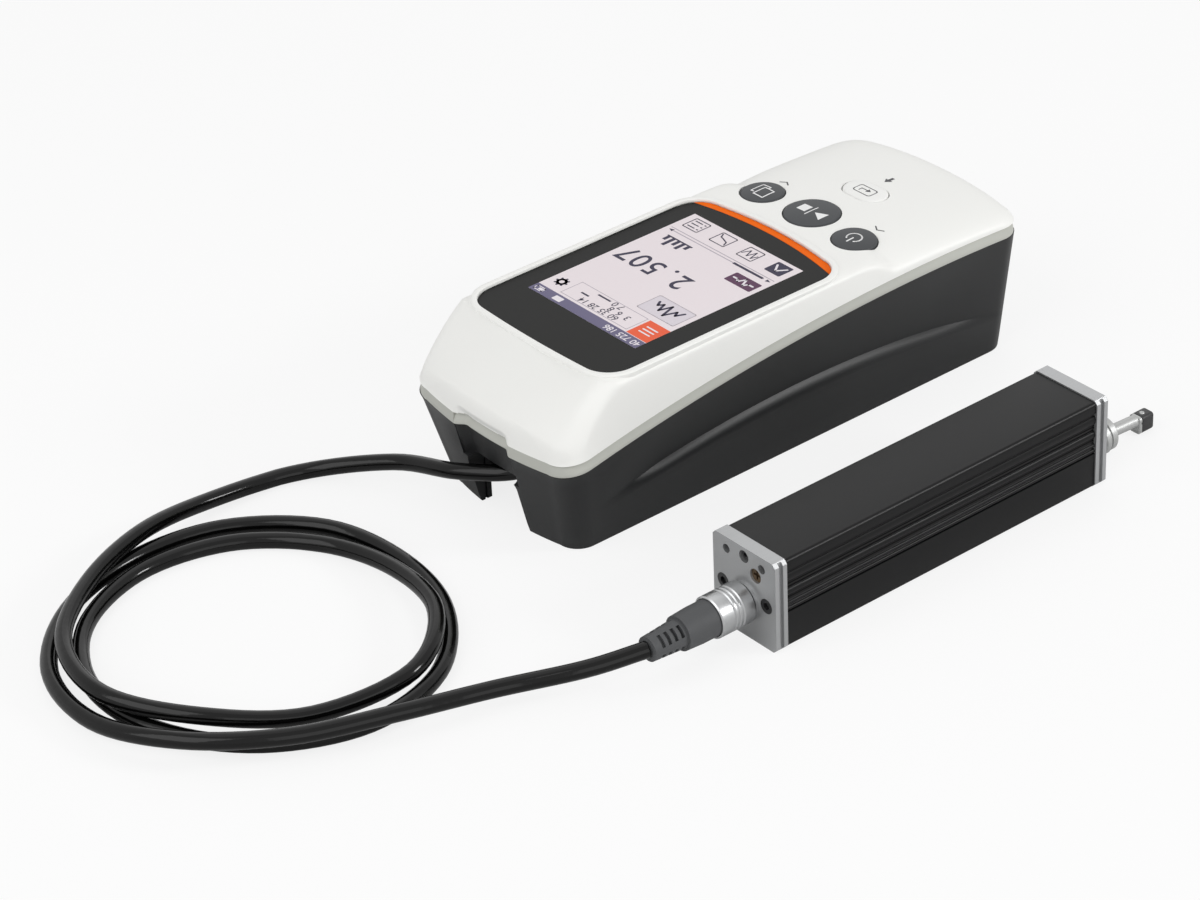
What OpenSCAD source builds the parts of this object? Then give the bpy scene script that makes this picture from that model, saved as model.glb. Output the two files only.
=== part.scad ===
// Surface roughness tester: a handheld display unit, its drive unit and the cable between them.
// The frame has +X along both units towards the keys, +Y from the drive unit to the display unit
// and +Z up. Its origin lies on the table, in the middle of the two units.

/* [Layout] */
// Clear distance between the two units
units_gap = 38.7; // [25:0.1:80]
// How far the drive unit sits back along X from the middle of the display unit
drive_back = 8.5; // [0:0.1:14]

/* [Display unit] */
// Length of the display unit at its lip
disp_l = 165; // [158:1:200]
// Width of the display unit at its lip
disp_w = 65.8; // [62:0.1:80]
// Width of the foot that stands on the table
foot_w = 52.9; // [48:0.1:58]
// How far the arch end of the foot stands in from the lip
foot_in = 7.4; // [5:0.1:9]
// How far the key end of the foot stands in from the lip
foot_in_keys = 0.9; // [0.5:0.1:3]
// Radius of the plan corners
corner_r = 8; // [5:0.1:12]
// Swell of each end in plan
end_swell = 2.1; // [1:0.1:4]
// Height of the parting line at the arch end
part_low = 24.8; // [23.5:0.1:28]
// Height of the parting line at the key end
part_high = 38.2; // [34:0.1:40]
// Rise of the parting line's arc over its chord
part_bow = 1.1; // [0:0.1:2]
// Height of the cover's upright lip
lip_h = 3.4; // [2:0.1:5]
// Shadow gap: how far the case stands in under the lip
lip_gap = 0.6; // [0.3:0.1:1]
// Height of the plateau that carries the window
plateau_z = 48.9; // [47:0.1:52]
// Fall of the key deck from the plateau to the key end
deck_fall = 3.2; // [1:0.1:5]
// Length of the slope at the arch end of the cover
slope_l = 15.5; // [10:0.1:18]
// Radius of the roll at the key end of the cover
roll_r = 9; // [5:0.1:14]
// Wall of the cover
cover_wall = 2.2; // [1.6:0.1:2.6]
// Wall of the case
case_wall = 2.2; // [1.6:0.1:2.6]
// Depth of the grip scoop in each side
grip_depth = 1.3; // [0.5:0.1:1.5]

/* [Docking bay] */
// Length of the bay under the display unit
bay_l = 116; // [100:1:117]
// Width of the bay
bay_w = 33; // [30:0.1:34]
// Height of the bay
bay_h = 24; // [20:0.1:24.5]
// Distance from the arch end of the foot to the bay
bay_start = 3; // [2:0.1:5]
// Width of the arch in the end wall
arch_w = 20.3; // [16:0.1:24]
// Height of the arch
arch_h = 17; // [12:0.1:18]
// Depth of the recess above the arch
notch_depth = 1.9; // [0.8:0.1:2.2]
// Depth of the guide ribs in the bay
rib_depth = 4.3; // [3:0.1:4.4]
// Width of each guide rib
rib_w = 1.2; // [0.8:0.1:2]

/* [Window] */
// Length of the window pocket
win_l = 83; // [78:0.1:86]
// Width of the window pocket
win_w = 58; // [52:0.1:58.5]
// Corner radius of the window pocket
win_r = 7; // [4:0.1:9]
// Distance from the arch end of the lip to the pocket
win_start = 18.2; // [17:0.1:20]
// Width of the rim round the pocket
rim_w = 1.9; // [1.2:0.1:2]
// Height of the rim over the plateau
rim_h = 0.6; // [0.3:0.1:1]
// Thickness of the glass
glass_t = 1.2; // [0.8:0.1:1.5]
// Width of the accent strip at its middle
accent_w = 3.3; // [2:0.1:5]
// Width of the display's picture, along the unit
lcd_l = 57.6; // [50:0.1:60]
// Height of the display's picture, across the unit
lcd_w = 43.2; // [40:0.1:46]
// Border of the display module round its picture
lcd_border = 2.4; // [1:0.1:2.6]
// Thickness of the display module
lcd_t = 3.4; // [2:0.1:4]
// Distance from the arch end of the pocket to the picture
lcd_start = 16.5; // [14:0.1:18]
// Bulge of the pocket's end beside the keys
win_bulge = 2.2; // [1:0.1:4]
// Bulge of the pocket's other end
win_bow = 0.6; // [0:0.1:2]

/* [Keys] */
// Diameter of the start key
start_d = 15; // [12:0.1:16]
// Diameter of the page key and the power key
side_key_d = 12.2; // [9:0.1:13]
// Length of the oval enter key, across the unit
enter_w = 14; // [12:0.1:16]
// Width of the oval enter key, along the unit
enter_l = 9.2; // [7:0.1:11]
// Place of the start key, from the middle of the unit
start_x = 32.5; // [30:0.1:36]
// Place of the page and power keys, from the middle of the unit
side_key_x = 31.5; // [29:0.1:36]
// Distance of the page and power keys from the centre line
side_key_y = 18.3; // [16:0.1:19.5]
// Place of the enter key, from the middle of the unit
enter_x = 52; // [47:0.1:56]
// Clearance round each key
key_gap = 0.3; // [0.15:0.05:0.5]
// How far the keys stand out of the deck
key_proud = 0.7; // [0.4:0.1:1.5]
// Travel of each key
key_travel = 0.8; // [0.3:0.1:1]

/* [Drive unit] */
// Length of the drive unit over its end plates
drive_l = 115; // [110:1:130]
// Width of the drive unit
drive_w = 23; // [22.5:0.1:24.5]
// Height of the drive unit
drive_h = 26; // [25:0.1:30]
// Thickness of the end plates
plate_t = 3.9; // [3.5:0.1:5]
// How far the extrusion stands in from the plates
body_in = 0.8; // [0.4:0.1:1.2]
// Wall of the extrusion
body_wall = 1.8; // [1.4:0.1:2.2]
// Radius of the top edges of the extrusion
body_r = 2.6; // [1:0.1:3]
// Width of the groove in the plates' sides
groove_w = 1.3; // [0.8:0.1:1.6]
// Depth of the groove in the plates' sides
groove_d = 0.8; // [0.4:0.1:1]
// Height of the cable connector's axis
conn_z = 10.6; // [9:0.1:12]
// Height of the detector's axis
probe_z = 5.2; // [5:0.1:6]
// Travel of the detector
probe_travel = 17.5; // [5:0.5:17.5]

/* [Detector] */
// Radius of the detector's body outside the drive unit
probe_r = 4; // [3:0.1:4]
// Radius of the detector's collar
collar_r = 4.8; // [4:0.1:4.8]
// Radius of the detector's rod
rod_r = 1.4; // [1:0.05:1.5]
// Length of the rod between the collar and the head
rod_l = 11; // [8:0.1:16]
// Length of the detector's head
head_l = 5; // [4:0.1:7]
// Width of the head
head_w = 4.4; // [4:0.1:6]
// Height of the head
head_h = 5.6; // [5:0.1:5.8]

/* [Cable] */
// Diameter of the cable
cord_d = 4.5; // [4:0.1:5]
// Diameter of the coupling sleeve
sleeve_d = 11.4; // [10:0.1:12]
// Length of the coupling sleeve
sleeve_l = 11; // [9:0.1:13]
// Draw of the coupling sleeve when it unlocks
sleeve_draw = 1.5; // [0.5:0.1:1.5]
// Length of the boot's round body
boot_l = 9.8; // [8:0.1:12]
// Length of the boot's slotted tail
tail_l = 9.8; // [8:0.1:14]

/* [Hidden] */

// Overrun of a cut past the face that it opens
over = 0.5;
// Clearance of a fastener or pin in its hole
fit = 0.05;
// Clearance between a moving piece and its neighbours
run = 0.4;

// Places of the two units
set_w = drive_w + units_gap + disp_w;
disp_y = set_w / 2 - disp_w / 2;
drive_y = -set_w / 2 + drive_w / 2;
drive_x0 = -drive_l / 2 - drive_back;
xl = -disp_l / 2;
xr = disp_l / 2;
half_w = disp_w / 2;

// Height of the parting surface at x
function part_z(x) = part_low + (part_high - part_low) * (x - xl) / disp_l
    + part_bow * (1 - pow(x / xr, 2));
// Height of the lip's top at x
function lip_z(x) = part_z(x) + lip_h;
// Height of the cover along its centre line
function crown_z(x) = plateau_z
    - deck_fall * pow(max(0, x - win_end) / (xr - win_end), 2);
function clamp01(v) = max(0, min(1, v));
function ease(v) = let(c = clamp01(v)) c * c * (3 - 2 * c);
function mix(a, b, t) = a + (b - a) * t;

// Window pocket, from the same values
win_x0 = xl + win_start;
win_end = win_x0 + win_l;

// A plan outline with round corners and swollen ends, near side first, in pairs about the centre
// line: as many points on the way out as on the way back.
function half_outline(x0, x1, w, r, swells, sides, arcs, ends) = let(
        we = w - r,
        xa = x0 + swells[0],
        xb = x1 - swells[1],
        left_end = [for (i = [0:ends]) let(s = i / ends)
            [x0 + swells[0] * s * s, -we * s]],
        left_arc = [for (i = [1:arcs]) let(a = 90 * i / arcs)
            [xa + r - r * cos(a), -we - r * sin(a)]],
        side = [for (i = [1:sides - 1])
            [mix(xa + r, xb - r, i / sides), -w]],
        right_arc = [for (i = [0:arcs - 1]) let(a = 90 * (1 - i / arcs))
            [xb - r + r * cos(a), -we - r * sin(a)]],
        right_end = [for (i = [0:ends]) let(s = 1 - i / ends)
            [x1 - swells[1] * s * s, -we * s]])
    concat(left_end, left_arc, side, right_arc, right_end);
swells = [end_swell, end_swell];
function full_outline(h) = concat(h, [for (i = [len(h) - 2:-1:1]) [h[i][0], -h[i][1]]]);

// A solid through rings that have a point on the centre line at each end and mirrored pairs
// between them. Its two caps are strips across the pairs.
module ring_solid(rings) {
    n = len(rings[0]);
    m = len(rings);
    h = n / 2;
    cap = [for (i = [0:h - 1]) i == 0 ? [0, 1, n - 1]
        : i == h - 1 ? [i, h, h + 1] : [i, i + 1, n - i - 1, n - i]];
    top = (m - 1) * n;
    polyhedron(
        points = [for (r = rings) each r],
        faces = concat(
            [for (f = cap) f],
            [for (k = [0:m - 2]) for (i = [0:n - 1]) let(j = (i + 1) % n)
                [k * n + j, k * n + i, (k + 1) * n + i, (k + 1) * n + j]],
            [for (f = cap) [for (i = [len(f) - 1:-1:0]) top + f[i]]]));
}

// Grip scoop: the height of its lower edge and its depth, along the side
grip_x0_share = -0.72;
grip_x1_share = 0.86;
grip_turn_share = 0.3;
function grip_z(x) = let(u = x / xr, fall = max(0, (u - grip_turn_share) / (1 - grip_turn_share)))
    part_z(x) * (0.355 + 0.16 * (u + 0.65) - 0.42 * fall * fall * fall);
function grip_fade(x) = let(u = x / xr)
    ease((u - grip_x0_share) / 0.5) * ease((grip_x1_share - u) / 0.45);

// Outer form of the case: rings from the foot up to the parting surface, leaning outward.
case_sides = 22;
case_arcs = 5;
case_ends = 4;
foot_edge = 0.6;
grip_edge = 1.1;
just_above = 1.001;
// Each ring above the foot: its level, where 0 is the foot, 1 the grip's lower edge and 2 the parting
// surface, and its share of the scoop
case_ring_shares = [[0.55, -0.12], [1, -0.25], [just_above, 1], [1.35, 1], [1.7, 0.6], [2, 0]];
function case_half(f) = half_outline(
    mix(xl + foot_in, xl + lip_gap, f), mix(xr - foot_in_keys, xr - lip_gap, f),
    mix(foot_w / 2, half_w - lip_gap, f), corner_r, swells, case_sides, case_arcs, case_ends);
function case_point(p, q, level, scoop) = let(
        zg = grip_z(p[0]),
        zp = part_z(mix(p[0], q[0], 0.5)),
        z = level <= 1 ? mix(0, zg, level) : mix(zg + grip_edge, zp, level - 1),
        x = mix(p[0], q[0], z / zp),
        y = mix(p[1], q[1], z / zp),
        side = ease((abs(y) / half_w - 0.7) / 0.16))
    [x, y - sign(y) * side * grip_fade(x) * scoop * grip_depth, level == 2 ? part_z(x) : z];
function case_ring(level, scoop) = let(
        lo = full_outline(case_half(0)), hi = full_outline(case_half(1)))
    [for (i = [0:len(lo) - 1]) case_point(lo[i], hi[i], level, scoop)];
module case_form() {
    lo = full_outline(half_outline(xl + foot_in + foot_edge, xr - foot_in_keys - foot_edge,
        foot_w / 2 - foot_edge, corner_r - foot_edge, swells, case_sides, case_arcs, case_ends));
    up = full_outline(case_half(0));
    ring_solid(concat(
        [[for (p = lo) [p[0], p[1], 0]], [for (p = up) [p[0], p[1], foot_edge]]],
        [for (s = case_ring_shares) case_ring(s[0], s[1])]));
}

// The hollow of the case, open at the parting surface
hollow_sides = 8;
hollow_arcs = 3;
hollow_ends = 3;
module case_hollow() {
    r = corner_r - case_wall;
    lo = full_outline(half_outline(xl + foot_in + case_wall + grip_depth, xr - foot_in_keys - case_wall,
        foot_w / 2 - case_wall - grip_depth, r, swells, hollow_sides, hollow_arcs, hollow_ends));
    hi = full_outline(half_outline(xl + lip_gap + case_wall, xr - lip_gap - case_wall,
        half_w - lip_gap - case_wall, r, swells, hollow_sides, hollow_arcs, hollow_ends));
    ring_solid([
        [for (p = lo) [p[0], p[1], case_wall]],
        [for (p = hi) [p[0], p[1], part_z(p[0]) + over]]]);
}

// Plan shapes with true arcs
module round_plate(l, w, r) {
    square([l - 2 * r, w], center = true);
    square([l, w - 2 * r], center = true);
    for (x = [-1, 1], y = [-1, 1])
        translate([x * (l / 2 - r), y * (w / 2 - r)]) circle(r = r, $fn = round_fn);
}
module slot_plate(l, w) {
    square([l, w - l], center = true);
    for (y = [-1, 1]) translate([0, y * (w - l) / 2]) circle(d = l, $fn = round_fn);
}
round_fn = 48;

// Docking bay, arch, notch and guide ribs, all from the bay's values
bay_x0 = xl + foot_in + bay_start;
bay_x1 = bay_x0 + bay_l;
bay_wall = 1.8;
arch_r = 3;
notch_flare = 1.6;
rib_gap = 40;
rib_start = 10;
lean_a = atan2(foot_in - lip_gap, part_z(xl));
module bay_void() {
    translate([bay_x0, -bay_w / 2, -over]) cube([bay_l, bay_w, bay_h + over]);
    depth = foot_in + bay_start + 2 * over + case_wall;
    translate([xl - over, 0, 0]) rotate([90, 0, 90]) linear_extrude(height = depth) {
        translate([-arch_w / 2, -over]) square([arch_w, arch_h - arch_r + over]);
        translate([-arch_w / 2 + arch_r, 0]) square([arch_w - 2 * arch_r, arch_h]);
        for (y = [-1, 1]) translate([y * (arch_w / 2 - arch_r), arch_h - arch_r])
            circle(r = arch_r, $fn = round_fn);
    }
}
module guide_ribs() {
    for (y = [-1, 1], i = [0, 1])
        translate([bay_x0 + rib_start + i * (rib_w + rib_gap), y * (bay_w - rib_depth) / 2, bay_h / 2])
            cube([rib_w, rib_depth, bay_h], center = true);
}
// The recess over the arch: a tapered block that leans with the end wall
module end_notch(depth, height, from_z) {
    w = arch_w / 2;
    f = notch_flare;
    translate([xl + foot_in, 0, 0]) rotate([0, -lean_a, 0]) translate([0, 0, from_z])
        linear_extrude(height = height)
            polygon([[depth, -w + f], [depth, w - f], [-depth, w + f], [-depth, -w - f]]);
}
module cover_notch() {
    w = arch_w / 2;
    f = notch_flare;
    d = notch_depth;
    translate([xl, 0, part_z(xl) - lip_h]) linear_extrude(height = 3 * lip_h)
        polygon([[d, -w + f], [d, w - f], [-d, w + f], [-d, -w - f]]);
}

// Case posts and cover bosses for the long screws, in four corners
post_x_shares = [-0.74, 0.86];
post_y_share = 0.65;
post_d = 7.4;
screw_d = 2.5;
head_d = 4.2;
head_t = 1.6;
screw_grip = 4;
screw_bite = 7;
post_low = 25;
post_high = 35;
post_places = [for (i = [0, 1], y = [-1, 1])
    [post_x_shares[i] * xr, y * post_y_share * half_w, i == 0 ? post_low : post_high]];

// Battery bay in the floor at the key end
batt_l = 27;
batt_w = 32;
batt_h = 17;
batt_ledge = 1.5;
batt_x = (bay_x1 + bay_wall + xr - foot_in_keys - case_wall) / 2 - batt_ledge;
door_t = 1.2;
door_gap = 0.25;

// Port recess in the end wall at the key end
port_w = 26;
port_h = 12;
socket_w = 19;
socket_h = 7;
socket_l = 7;
socket_lip = 1;
socket_gap = 0.185;
socket_y = socket_w / 2 + socket_lip + socket_gap + post_d / 2 - post_y_share * half_w;
port_y = socket_y - port_w / 13;
port_z = 28.5;
port_proud = 0.4;
port_depth = 5;
pin_d = 1.2;
pin_in = 2.3;
pin_up = 2.8;
pin_out = 1.6;
door_depth = 2.7;
door_side = 0.35;
end_r = (pow(half_w - corner_r, 2) + pow(end_swell, 2)) / (2 * end_swell);
wall_x = xr - lip_gap;
port_x = wall_x - port_depth;
door_back = wall_x - door_depth;
pin_x = wall_x + port_proud - pin_in;
pin_z = port_z - port_h / 2 + pin_up;
module blocks() {
    translate([xl, -bay_w / 2 - bay_wall, 0])
        cube([bay_x1 + bay_wall - xl, bay_w + 2 * bay_wall, bay_h + bay_wall]);
    translate([port_x - case_wall, port_y - port_w / 2 - case_wall, port_z - port_h / 2 - case_wall])
        cube([port_depth + case_wall, port_w + 2 * case_wall, port_h + 2 * case_wall]);
    for (p = post_places) translate([p[0], p[1], 0])
        cylinder(d = post_d, h = p[2], $fn = round_fn);
}

module lower_case() {
    color("#3e4041") translate([0, disp_y, 0]) difference() {
        case_form();
        difference() {
            case_hollow();
            blocks();
        }
        difference() {
            bay_void();
            guide_ribs();
        }
        end_notch(notch_depth, 1.3 * part_low - arch_h, arch_h - over);
        for (p = post_places) translate([p[0], p[1], -over]) {
            cylinder(d = head_d + 2 * door_gap, h = p[2] - screw_grip + over, $fn = round_fn);
            cylinder(d = screw_d + 2 * fit, h = p[2] + 2 * over, $fn = round_fn);
        }
        translate([batt_x, 0, -over]) {
            linear_extrude(height = door_t + over)
                round_plate(batt_l + 2 * batt_ledge, batt_w + 2 * batt_ledge, batt_ledge);
            linear_extrude(height = case_wall + 2 * over) round_plate(batt_l, batt_w, batt_ledge);
        }
        translate([port_x, port_y - port_w / 2, port_z - port_h / 2])
            cube([port_depth + 2 * over + lip_gap, port_w, port_h]);
        translate([port_x - case_wall - over, socket_y - socket_w / 2 - fit, port_z - socket_h / 2 - fit])
            cube([case_wall + 2 * over, socket_w + 2 * fit, socket_h + 2 * fit]);
        translate([pin_x, port_y - port_w / 2 - pin_out, pin_z]) rotate([-90, 0, 0])
            cylinder(d = pin_d, h = port_w + 2 * pin_out, $fn = round_fn);
        translate([bay_x1 - over, 0, socket_z]) rotate([0, 90, 0])
            cylinder(d = dock_d, h = bay_wall + 2 * over, $fn = round_fn);
    }
}

// Outer form of the cover, as sections along the unit. Inset 0 is its outside.
cover_sides = 30;
cover_arcs = 5;
cover_ends = 5;
arch_steps = 16;
wall_lean_share = 0.055;
toe_share = 0.28;
toe_len_share = 0.1;
roll_power = 2.4;
function side_power(x) = x < win_x0 + rim_w
    ? mix(5, 20, ease((x - xl) / (win_x0 - xl)))
    : mix(20, 2.8, ease((x - win_end) / (disp_l / 9)));
function end_in(y, w, r) = abs(y) < w - r ? end_swell * pow(y / (w - r), 2)
    : end_swell + r - sqrt(max(0, r * r - pow(abs(y) - w + r, 2)));
function slope_share(e) = toe_share * (1 - pow(1 - clamp01(e / toe_len_share), 2))
    + (1 - toe_share) * clamp01(e);
function roll_share(e) = pow(1 - pow(1 - clamp01(e), roll_power), 1 / roll_power);
function cover_z(x, y, inset, s) = let(
        w = half_w - inset,
        r = corner_r - inset,
        dl = x - xl - inset - end_in(y, w, r),
        dr = xr - inset - end_in(y, w, r) - x,
        low = lip_z(x) - inset / 2)
    low + (crown_z(x) - inset - low) * s * slope_share(dl / slope_l) * roll_share(dr / roll_r);
function deck_z(x, y) = let(n = side_power(x))
    cover_z(x, y, 0, pow(1 - pow(abs(y) / half_w, n), 1 / n));
function cover_section(x, w, inset, drop, steps) = let(
        n = side_power(x),
        arc = [for (k = [0:steps]) let(
                a = 180 * k / steps,
                c = pow(abs(cos(a)), 2 / n),
                s = pow(abs(sin(a)), 2 / n),
                y = -sign(cos(a)) * w * c * (1 - wall_lean_share * s * ease((win_end - x) / rim_w / 4)))
            [x, y, cover_z(x, y, inset, s)]])
    concat([[x, -w, part_z(x) - drop]], arc, [[x, w, part_z(x) - drop]]);
module cover_form(inset, drop, sides, arcs, ends, steps) {
    h = half_outline(xl + inset, xr - inset, half_w - inset, corner_r - inset, swells,
        sides, arcs, ends);
    rings = [for (i = [1:len(h) - 2]) cover_section(h[i][0], -h[i][1], inset, drop, steps)];
    n = len(rings[0]);
    m = len(rings);
    polyhedron(
        points = [for (r = rings) each r],
        faces = concat(
            [[for (i = [n - 1:-1:0]) i]],
            [for (k = [0:m - 2]) for (i = [0:n - 1]) let(j = (i + 1) % n)
                [k * n + i, k * n + j, (k + 1) * n + j, (k + 1) * n + i]],
            [[for (i = [0:n - 1]) (m - 1) * n + i]]));
}
module win_shape(grow) {
    polygon(full_outline(half_outline(win_x0 - grow, win_end + grow, win_w / 2 + grow, win_r + grow,
        [win_bow, win_bulge], 2, 7, 6)));
}
module win_plate(grow, height) {
    linear_extrude(height = height) win_shape(grow);
}
module key_hole(grow, height) {
    for (k = round_keys) translate([k[0], k[1], 0])
        cylinder(d = k[2] + 2 * grow, h = height, $fn = round_fn);
    translate([enter_x, 0, 0]) linear_extrude(height = height)
        slot_plate(enter_l + 2 * grow, enter_w + 2 * grow);
}
round_keys = [[side_key_x, side_key_y, side_key_d], [start_x, 0, start_d],
    [side_key_x, -side_key_y, side_key_d]];
well_deep = 4.6;
well_z = plateau_z - well_deep;
well_wall = 1.1;
module top_cover() {
    color("#f2f2ef") translate([0, disp_y, 0]) difference() {
        union() {
            difference() {
                cover_form(0, 0, cover_sides, cover_arcs, cover_ends, arch_steps);
                cover_form(cover_wall, over, 12, 3, 3, 8);
            }
            translate([0, 0, plateau_z - cover_wall / 2])
                win_plate(rim_w, cover_wall / 2 + rim_h);
            intersection() {
                cover_form(cover_wall / 2, skirt, 12, 3, 3, 8);
                union() {
                    translate([0, 0, well_z]) key_hole(key_gap + well_wall, plateau_z);
                    for (p = post_places) translate(p) cylinder(d = post_d, h = plateau_z, $fn = round_fn);
                    for (y = [-1, 1]) translate([boss_x, y * boss_y, key_board_z])
                        cylinder(d = switch_d, h = plateau_z, $fn = round_fn);
                }
            }
        }
        translate([0, 0, plateau_z - pocket_drop]) win_plate(0, pocket_drop + rim_h + over);
        translate([lcd_x - lcd_l / 2 - lcd_border - run, -lcd_w / 2 - lcd_border - run, board_z])
            cube([lcd_l + 2 * lcd_border + 2 * run, lcd_w + 2 * lcd_border + 2 * run, plateau_z]);
        translate([0, 0, well_z - over]) key_hole(key_gap, plateau_z);
        for (p = post_places) translate([p[0], p[1], p[2] - over])
            cylinder(d = screw_d + 2 * fit, h = screw_bite + over, $fn = round_fn);
        cover_notch();
    }
}
skirt = 3;
boss_x = (start_x + enter_x) / 2 + key_travel;
boss_y = side_key_y * 2 / 3;
rebate = 0.24;
pocket_drop = glass_t + rebate;
lcd_x = win_x0 + lcd_start + lcd_l / 2;
glass_z0 = plateau_z - pocket_drop;
glass_gap = 0.08;
// The end of the glass beside the accent strip, bowed as the pocket's end is
module accent_zone(gap) {
    polygon(concat(
        [for (i = [-6:6]) let(y = i / 6 * win_w / 2, s = y / (win_w / 2 - win_r))
            [win_end - accent_w + gap - win_bulge * s * s, y]],
        [[win_end + accent_w, win_w / 2], [win_end + accent_w, -win_w / 2]]));
}
module window_glass() {
    color("#3a3a39") translate([0, disp_y, glass_z0]) linear_extrude(height = glass_t) difference() {
        win_shape(-glass_gap);
        accent_zone(0);
    }
}
module accent_strip() {
    color("#f47a20") translate([0, disp_y, glass_z0]) linear_extrude(height = glass_t) intersection() {
        win_shape(-glass_gap);
        accent_zone(glass_gap);
    }
}
module display_module() {
    color("#e9e2e6") translate([lcd_x, disp_y, glass_z0 - lcd_t / 2])
        cube([lcd_l + 2 * lcd_border, lcd_w + 2 * lcd_border, lcd_t], center = true);
}

// Boards: the main board hangs under the display module, the key board under the keys
board_t = 1.6;
chip_t = 2;
board_z = glass_z0 - lcd_t - chip_t;
module main_board() {
    color("#1f6b4a") translate([0, disp_y, 0]) {
        translate([lcd_x - lcd_l / 2 - lcd_border, -lcd_w / 2 - lcd_border, board_z - board_t])
            cube([lcd_l + 2 * lcd_border, lcd_w + 2 * lcd_border, board_t]);
        for (i = [0:2]) translate([lcd_x - lcd_l / 2 + i * lcd_l / 3, -lcd_w / 4, board_z])
            cube([lcd_l / 5, lcd_l / 5, chip_t]);
    }
}
flange_t = 0.9;
switch_d = 4;
module key_board() {
    color("#1f6b4a") translate([0, disp_y, 0]) {
        translate([start_x - start_d / 2 - flange_t, -side_key_y - side_key_d / 2, key_board_z - board_t])
            cube([enter_x - start_x + start_d / 2 + enter_l, 2 * side_key_y + side_key_d, board_t]);
        for (k = concat(round_keys, [[enter_x, 0, enter_l]])) translate([k[0], k[1], key_board_z])
            cylinder(d = switch_d, h = chip_t, $fn = round_fn);
    }
}

// Keys: a cap that leans with the deck, a shank in its well and a flange under the well
cap_edge = 0.5;
flange_out = 0.9;
flange_gap = 0.1;
key_board_z = well_z - flange_gap - flange_t - key_travel - fit - chip_t;
// Lean of a round key's top, as the deck leans under it
function key_tilt(k) = let(y = abs(k[1]), d = k[2] / 4)
    k[1] == 0 ? 0 : atan((deck_z(k[0], y - d) - deck_z(k[0], y + d)) / (2 * d));
module round_key(k, shade) {
    r = k[2] / 2;
    low = well_z - flange_gap - flange_t;
    cap_h = deck_z(k[0], abs(k[1])) + key_proud - low;
    color(shade) translate([k[0], disp_y + k[1], low]) {
        cylinder(r = r + flange_out, h = flange_t, $fn = round_fn);
        intersection() {
            cylinder(r = r, h = 2 * cap_h, $fn = round_fn);
            translate([0, 0, cap_h]) rotate([180 - sign(k[1]) * key_tilt(k), 0, 0])
                cylinder(r1 = r - cap_edge, r2 = r - cap_edge + 2 * cap_h, h = 2 * cap_h, $fn = round_fn);
        }
    }
}
module page_key() { round_key(round_keys[0], "#45474a"); }
module start_key() { round_key(round_keys[1], "#45474a"); }
module power_key() { round_key(round_keys[2], "#45474a"); }
module enter_key() {
    top = deck_z(enter_x, 0) + key_proud;
    low = well_z - flange_gap - flange_t;
    color("#f4f4f1") translate([enter_x, disp_y, 0]) {
        translate([0, 0, low]) linear_extrude(height = flange_t)
            slot_plate(enter_l + 2 * flange_out, enter_w + 2 * flange_out);
        translate([0, 0, low]) linear_extrude(height = top - cap_edge - low) slot_plate(enter_l, enter_w);
        translate([0, 0, top - cap_edge]) linear_extrude(height = cap_edge / 2)
            slot_plate(enter_l - cap_edge / 2, enter_w - cap_edge / 2);
        translate([0, 0, top - cap_edge / 2]) linear_extrude(height = cap_edge / 2)
            slot_plate(enter_l - 2 * cap_edge, enter_w - 2 * cap_edge);
    }
}

// Battery pack on its door
module battery_cover() {
    e = batt_ledge - door_gap;
    color("#3e4041") translate([batt_x, disp_y, 0]) linear_extrude(height = door_t)
        round_plate(batt_l + 2 * e, batt_w + 2 * e, batt_ledge);
}
module battery_pack() {
    color("#2a5f9e") translate([batt_x, disp_y, door_t]) linear_extrude(height = batt_h)
        round_plate(batt_l - 2 * door_gap, batt_w - 2 * door_gap, batt_ledge);
}
module case_screws() {
    color("#b8babc") translate([0, disp_y, 0]) for (p = post_places)
        translate([p[0], p[1], p[2] - screw_grip]) {
            difference() {
                translate([0, 0, -head_t]) cylinder(d = head_d, h = head_t, $fn = round_fn);
                translate([0, 0, -head_t - over]) cylinder(d = screw_d, h = head_t / 2 + over, $fn = 6);
            }
            cylinder(d = screw_d, h = screw_grip + screw_bite - over, $fn = round_fn);
        }
}

// Port cover: a door that follows the end wall, on a steel pin near its foot
module port_cover() {
    r = pin_up - door_side;
    w = port_w - 2 * door_side;
    color("#343637") translate([0, disp_y, 0]) difference() {
        intersection() {
            union() {
                translate([pin_x, port_y - w / 2, pin_z]) rotate([-90, 0, 0])
                    cylinder(r = r, h = w, $fn = round_fn);
                translate([door_back, port_y - w / 2, pin_z])
                    cube([port_depth, w, port_h - pin_up - door_side]);
            }
            translate([wall_x + port_proud - end_r, 0, 0]) cylinder(r = end_r, h = plateau_z, $fn = 360);
            translate([door_back, -half_w, 0]) cube([2 * port_depth, disp_w, plateau_z]);
        }
        translate([pin_x, port_y - port_w / 2, pin_z]) rotate([-90, 0, 0])
            cylinder(d = pin_d + 2 * fit, h = port_w, $fn = round_fn);
    }
}
module port_pin() {
    color("#c4c6c8") translate([pin_x, disp_y + port_y - port_w / 2 - pin_out, pin_z]) rotate([-90, 0, 0])
        cylinder(d = pin_d, h = port_w + 2 * pin_out, $fn = round_fn);
}
usb_w = 8;
usb_h = 3.4;
jack_d = 5.4;
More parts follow.
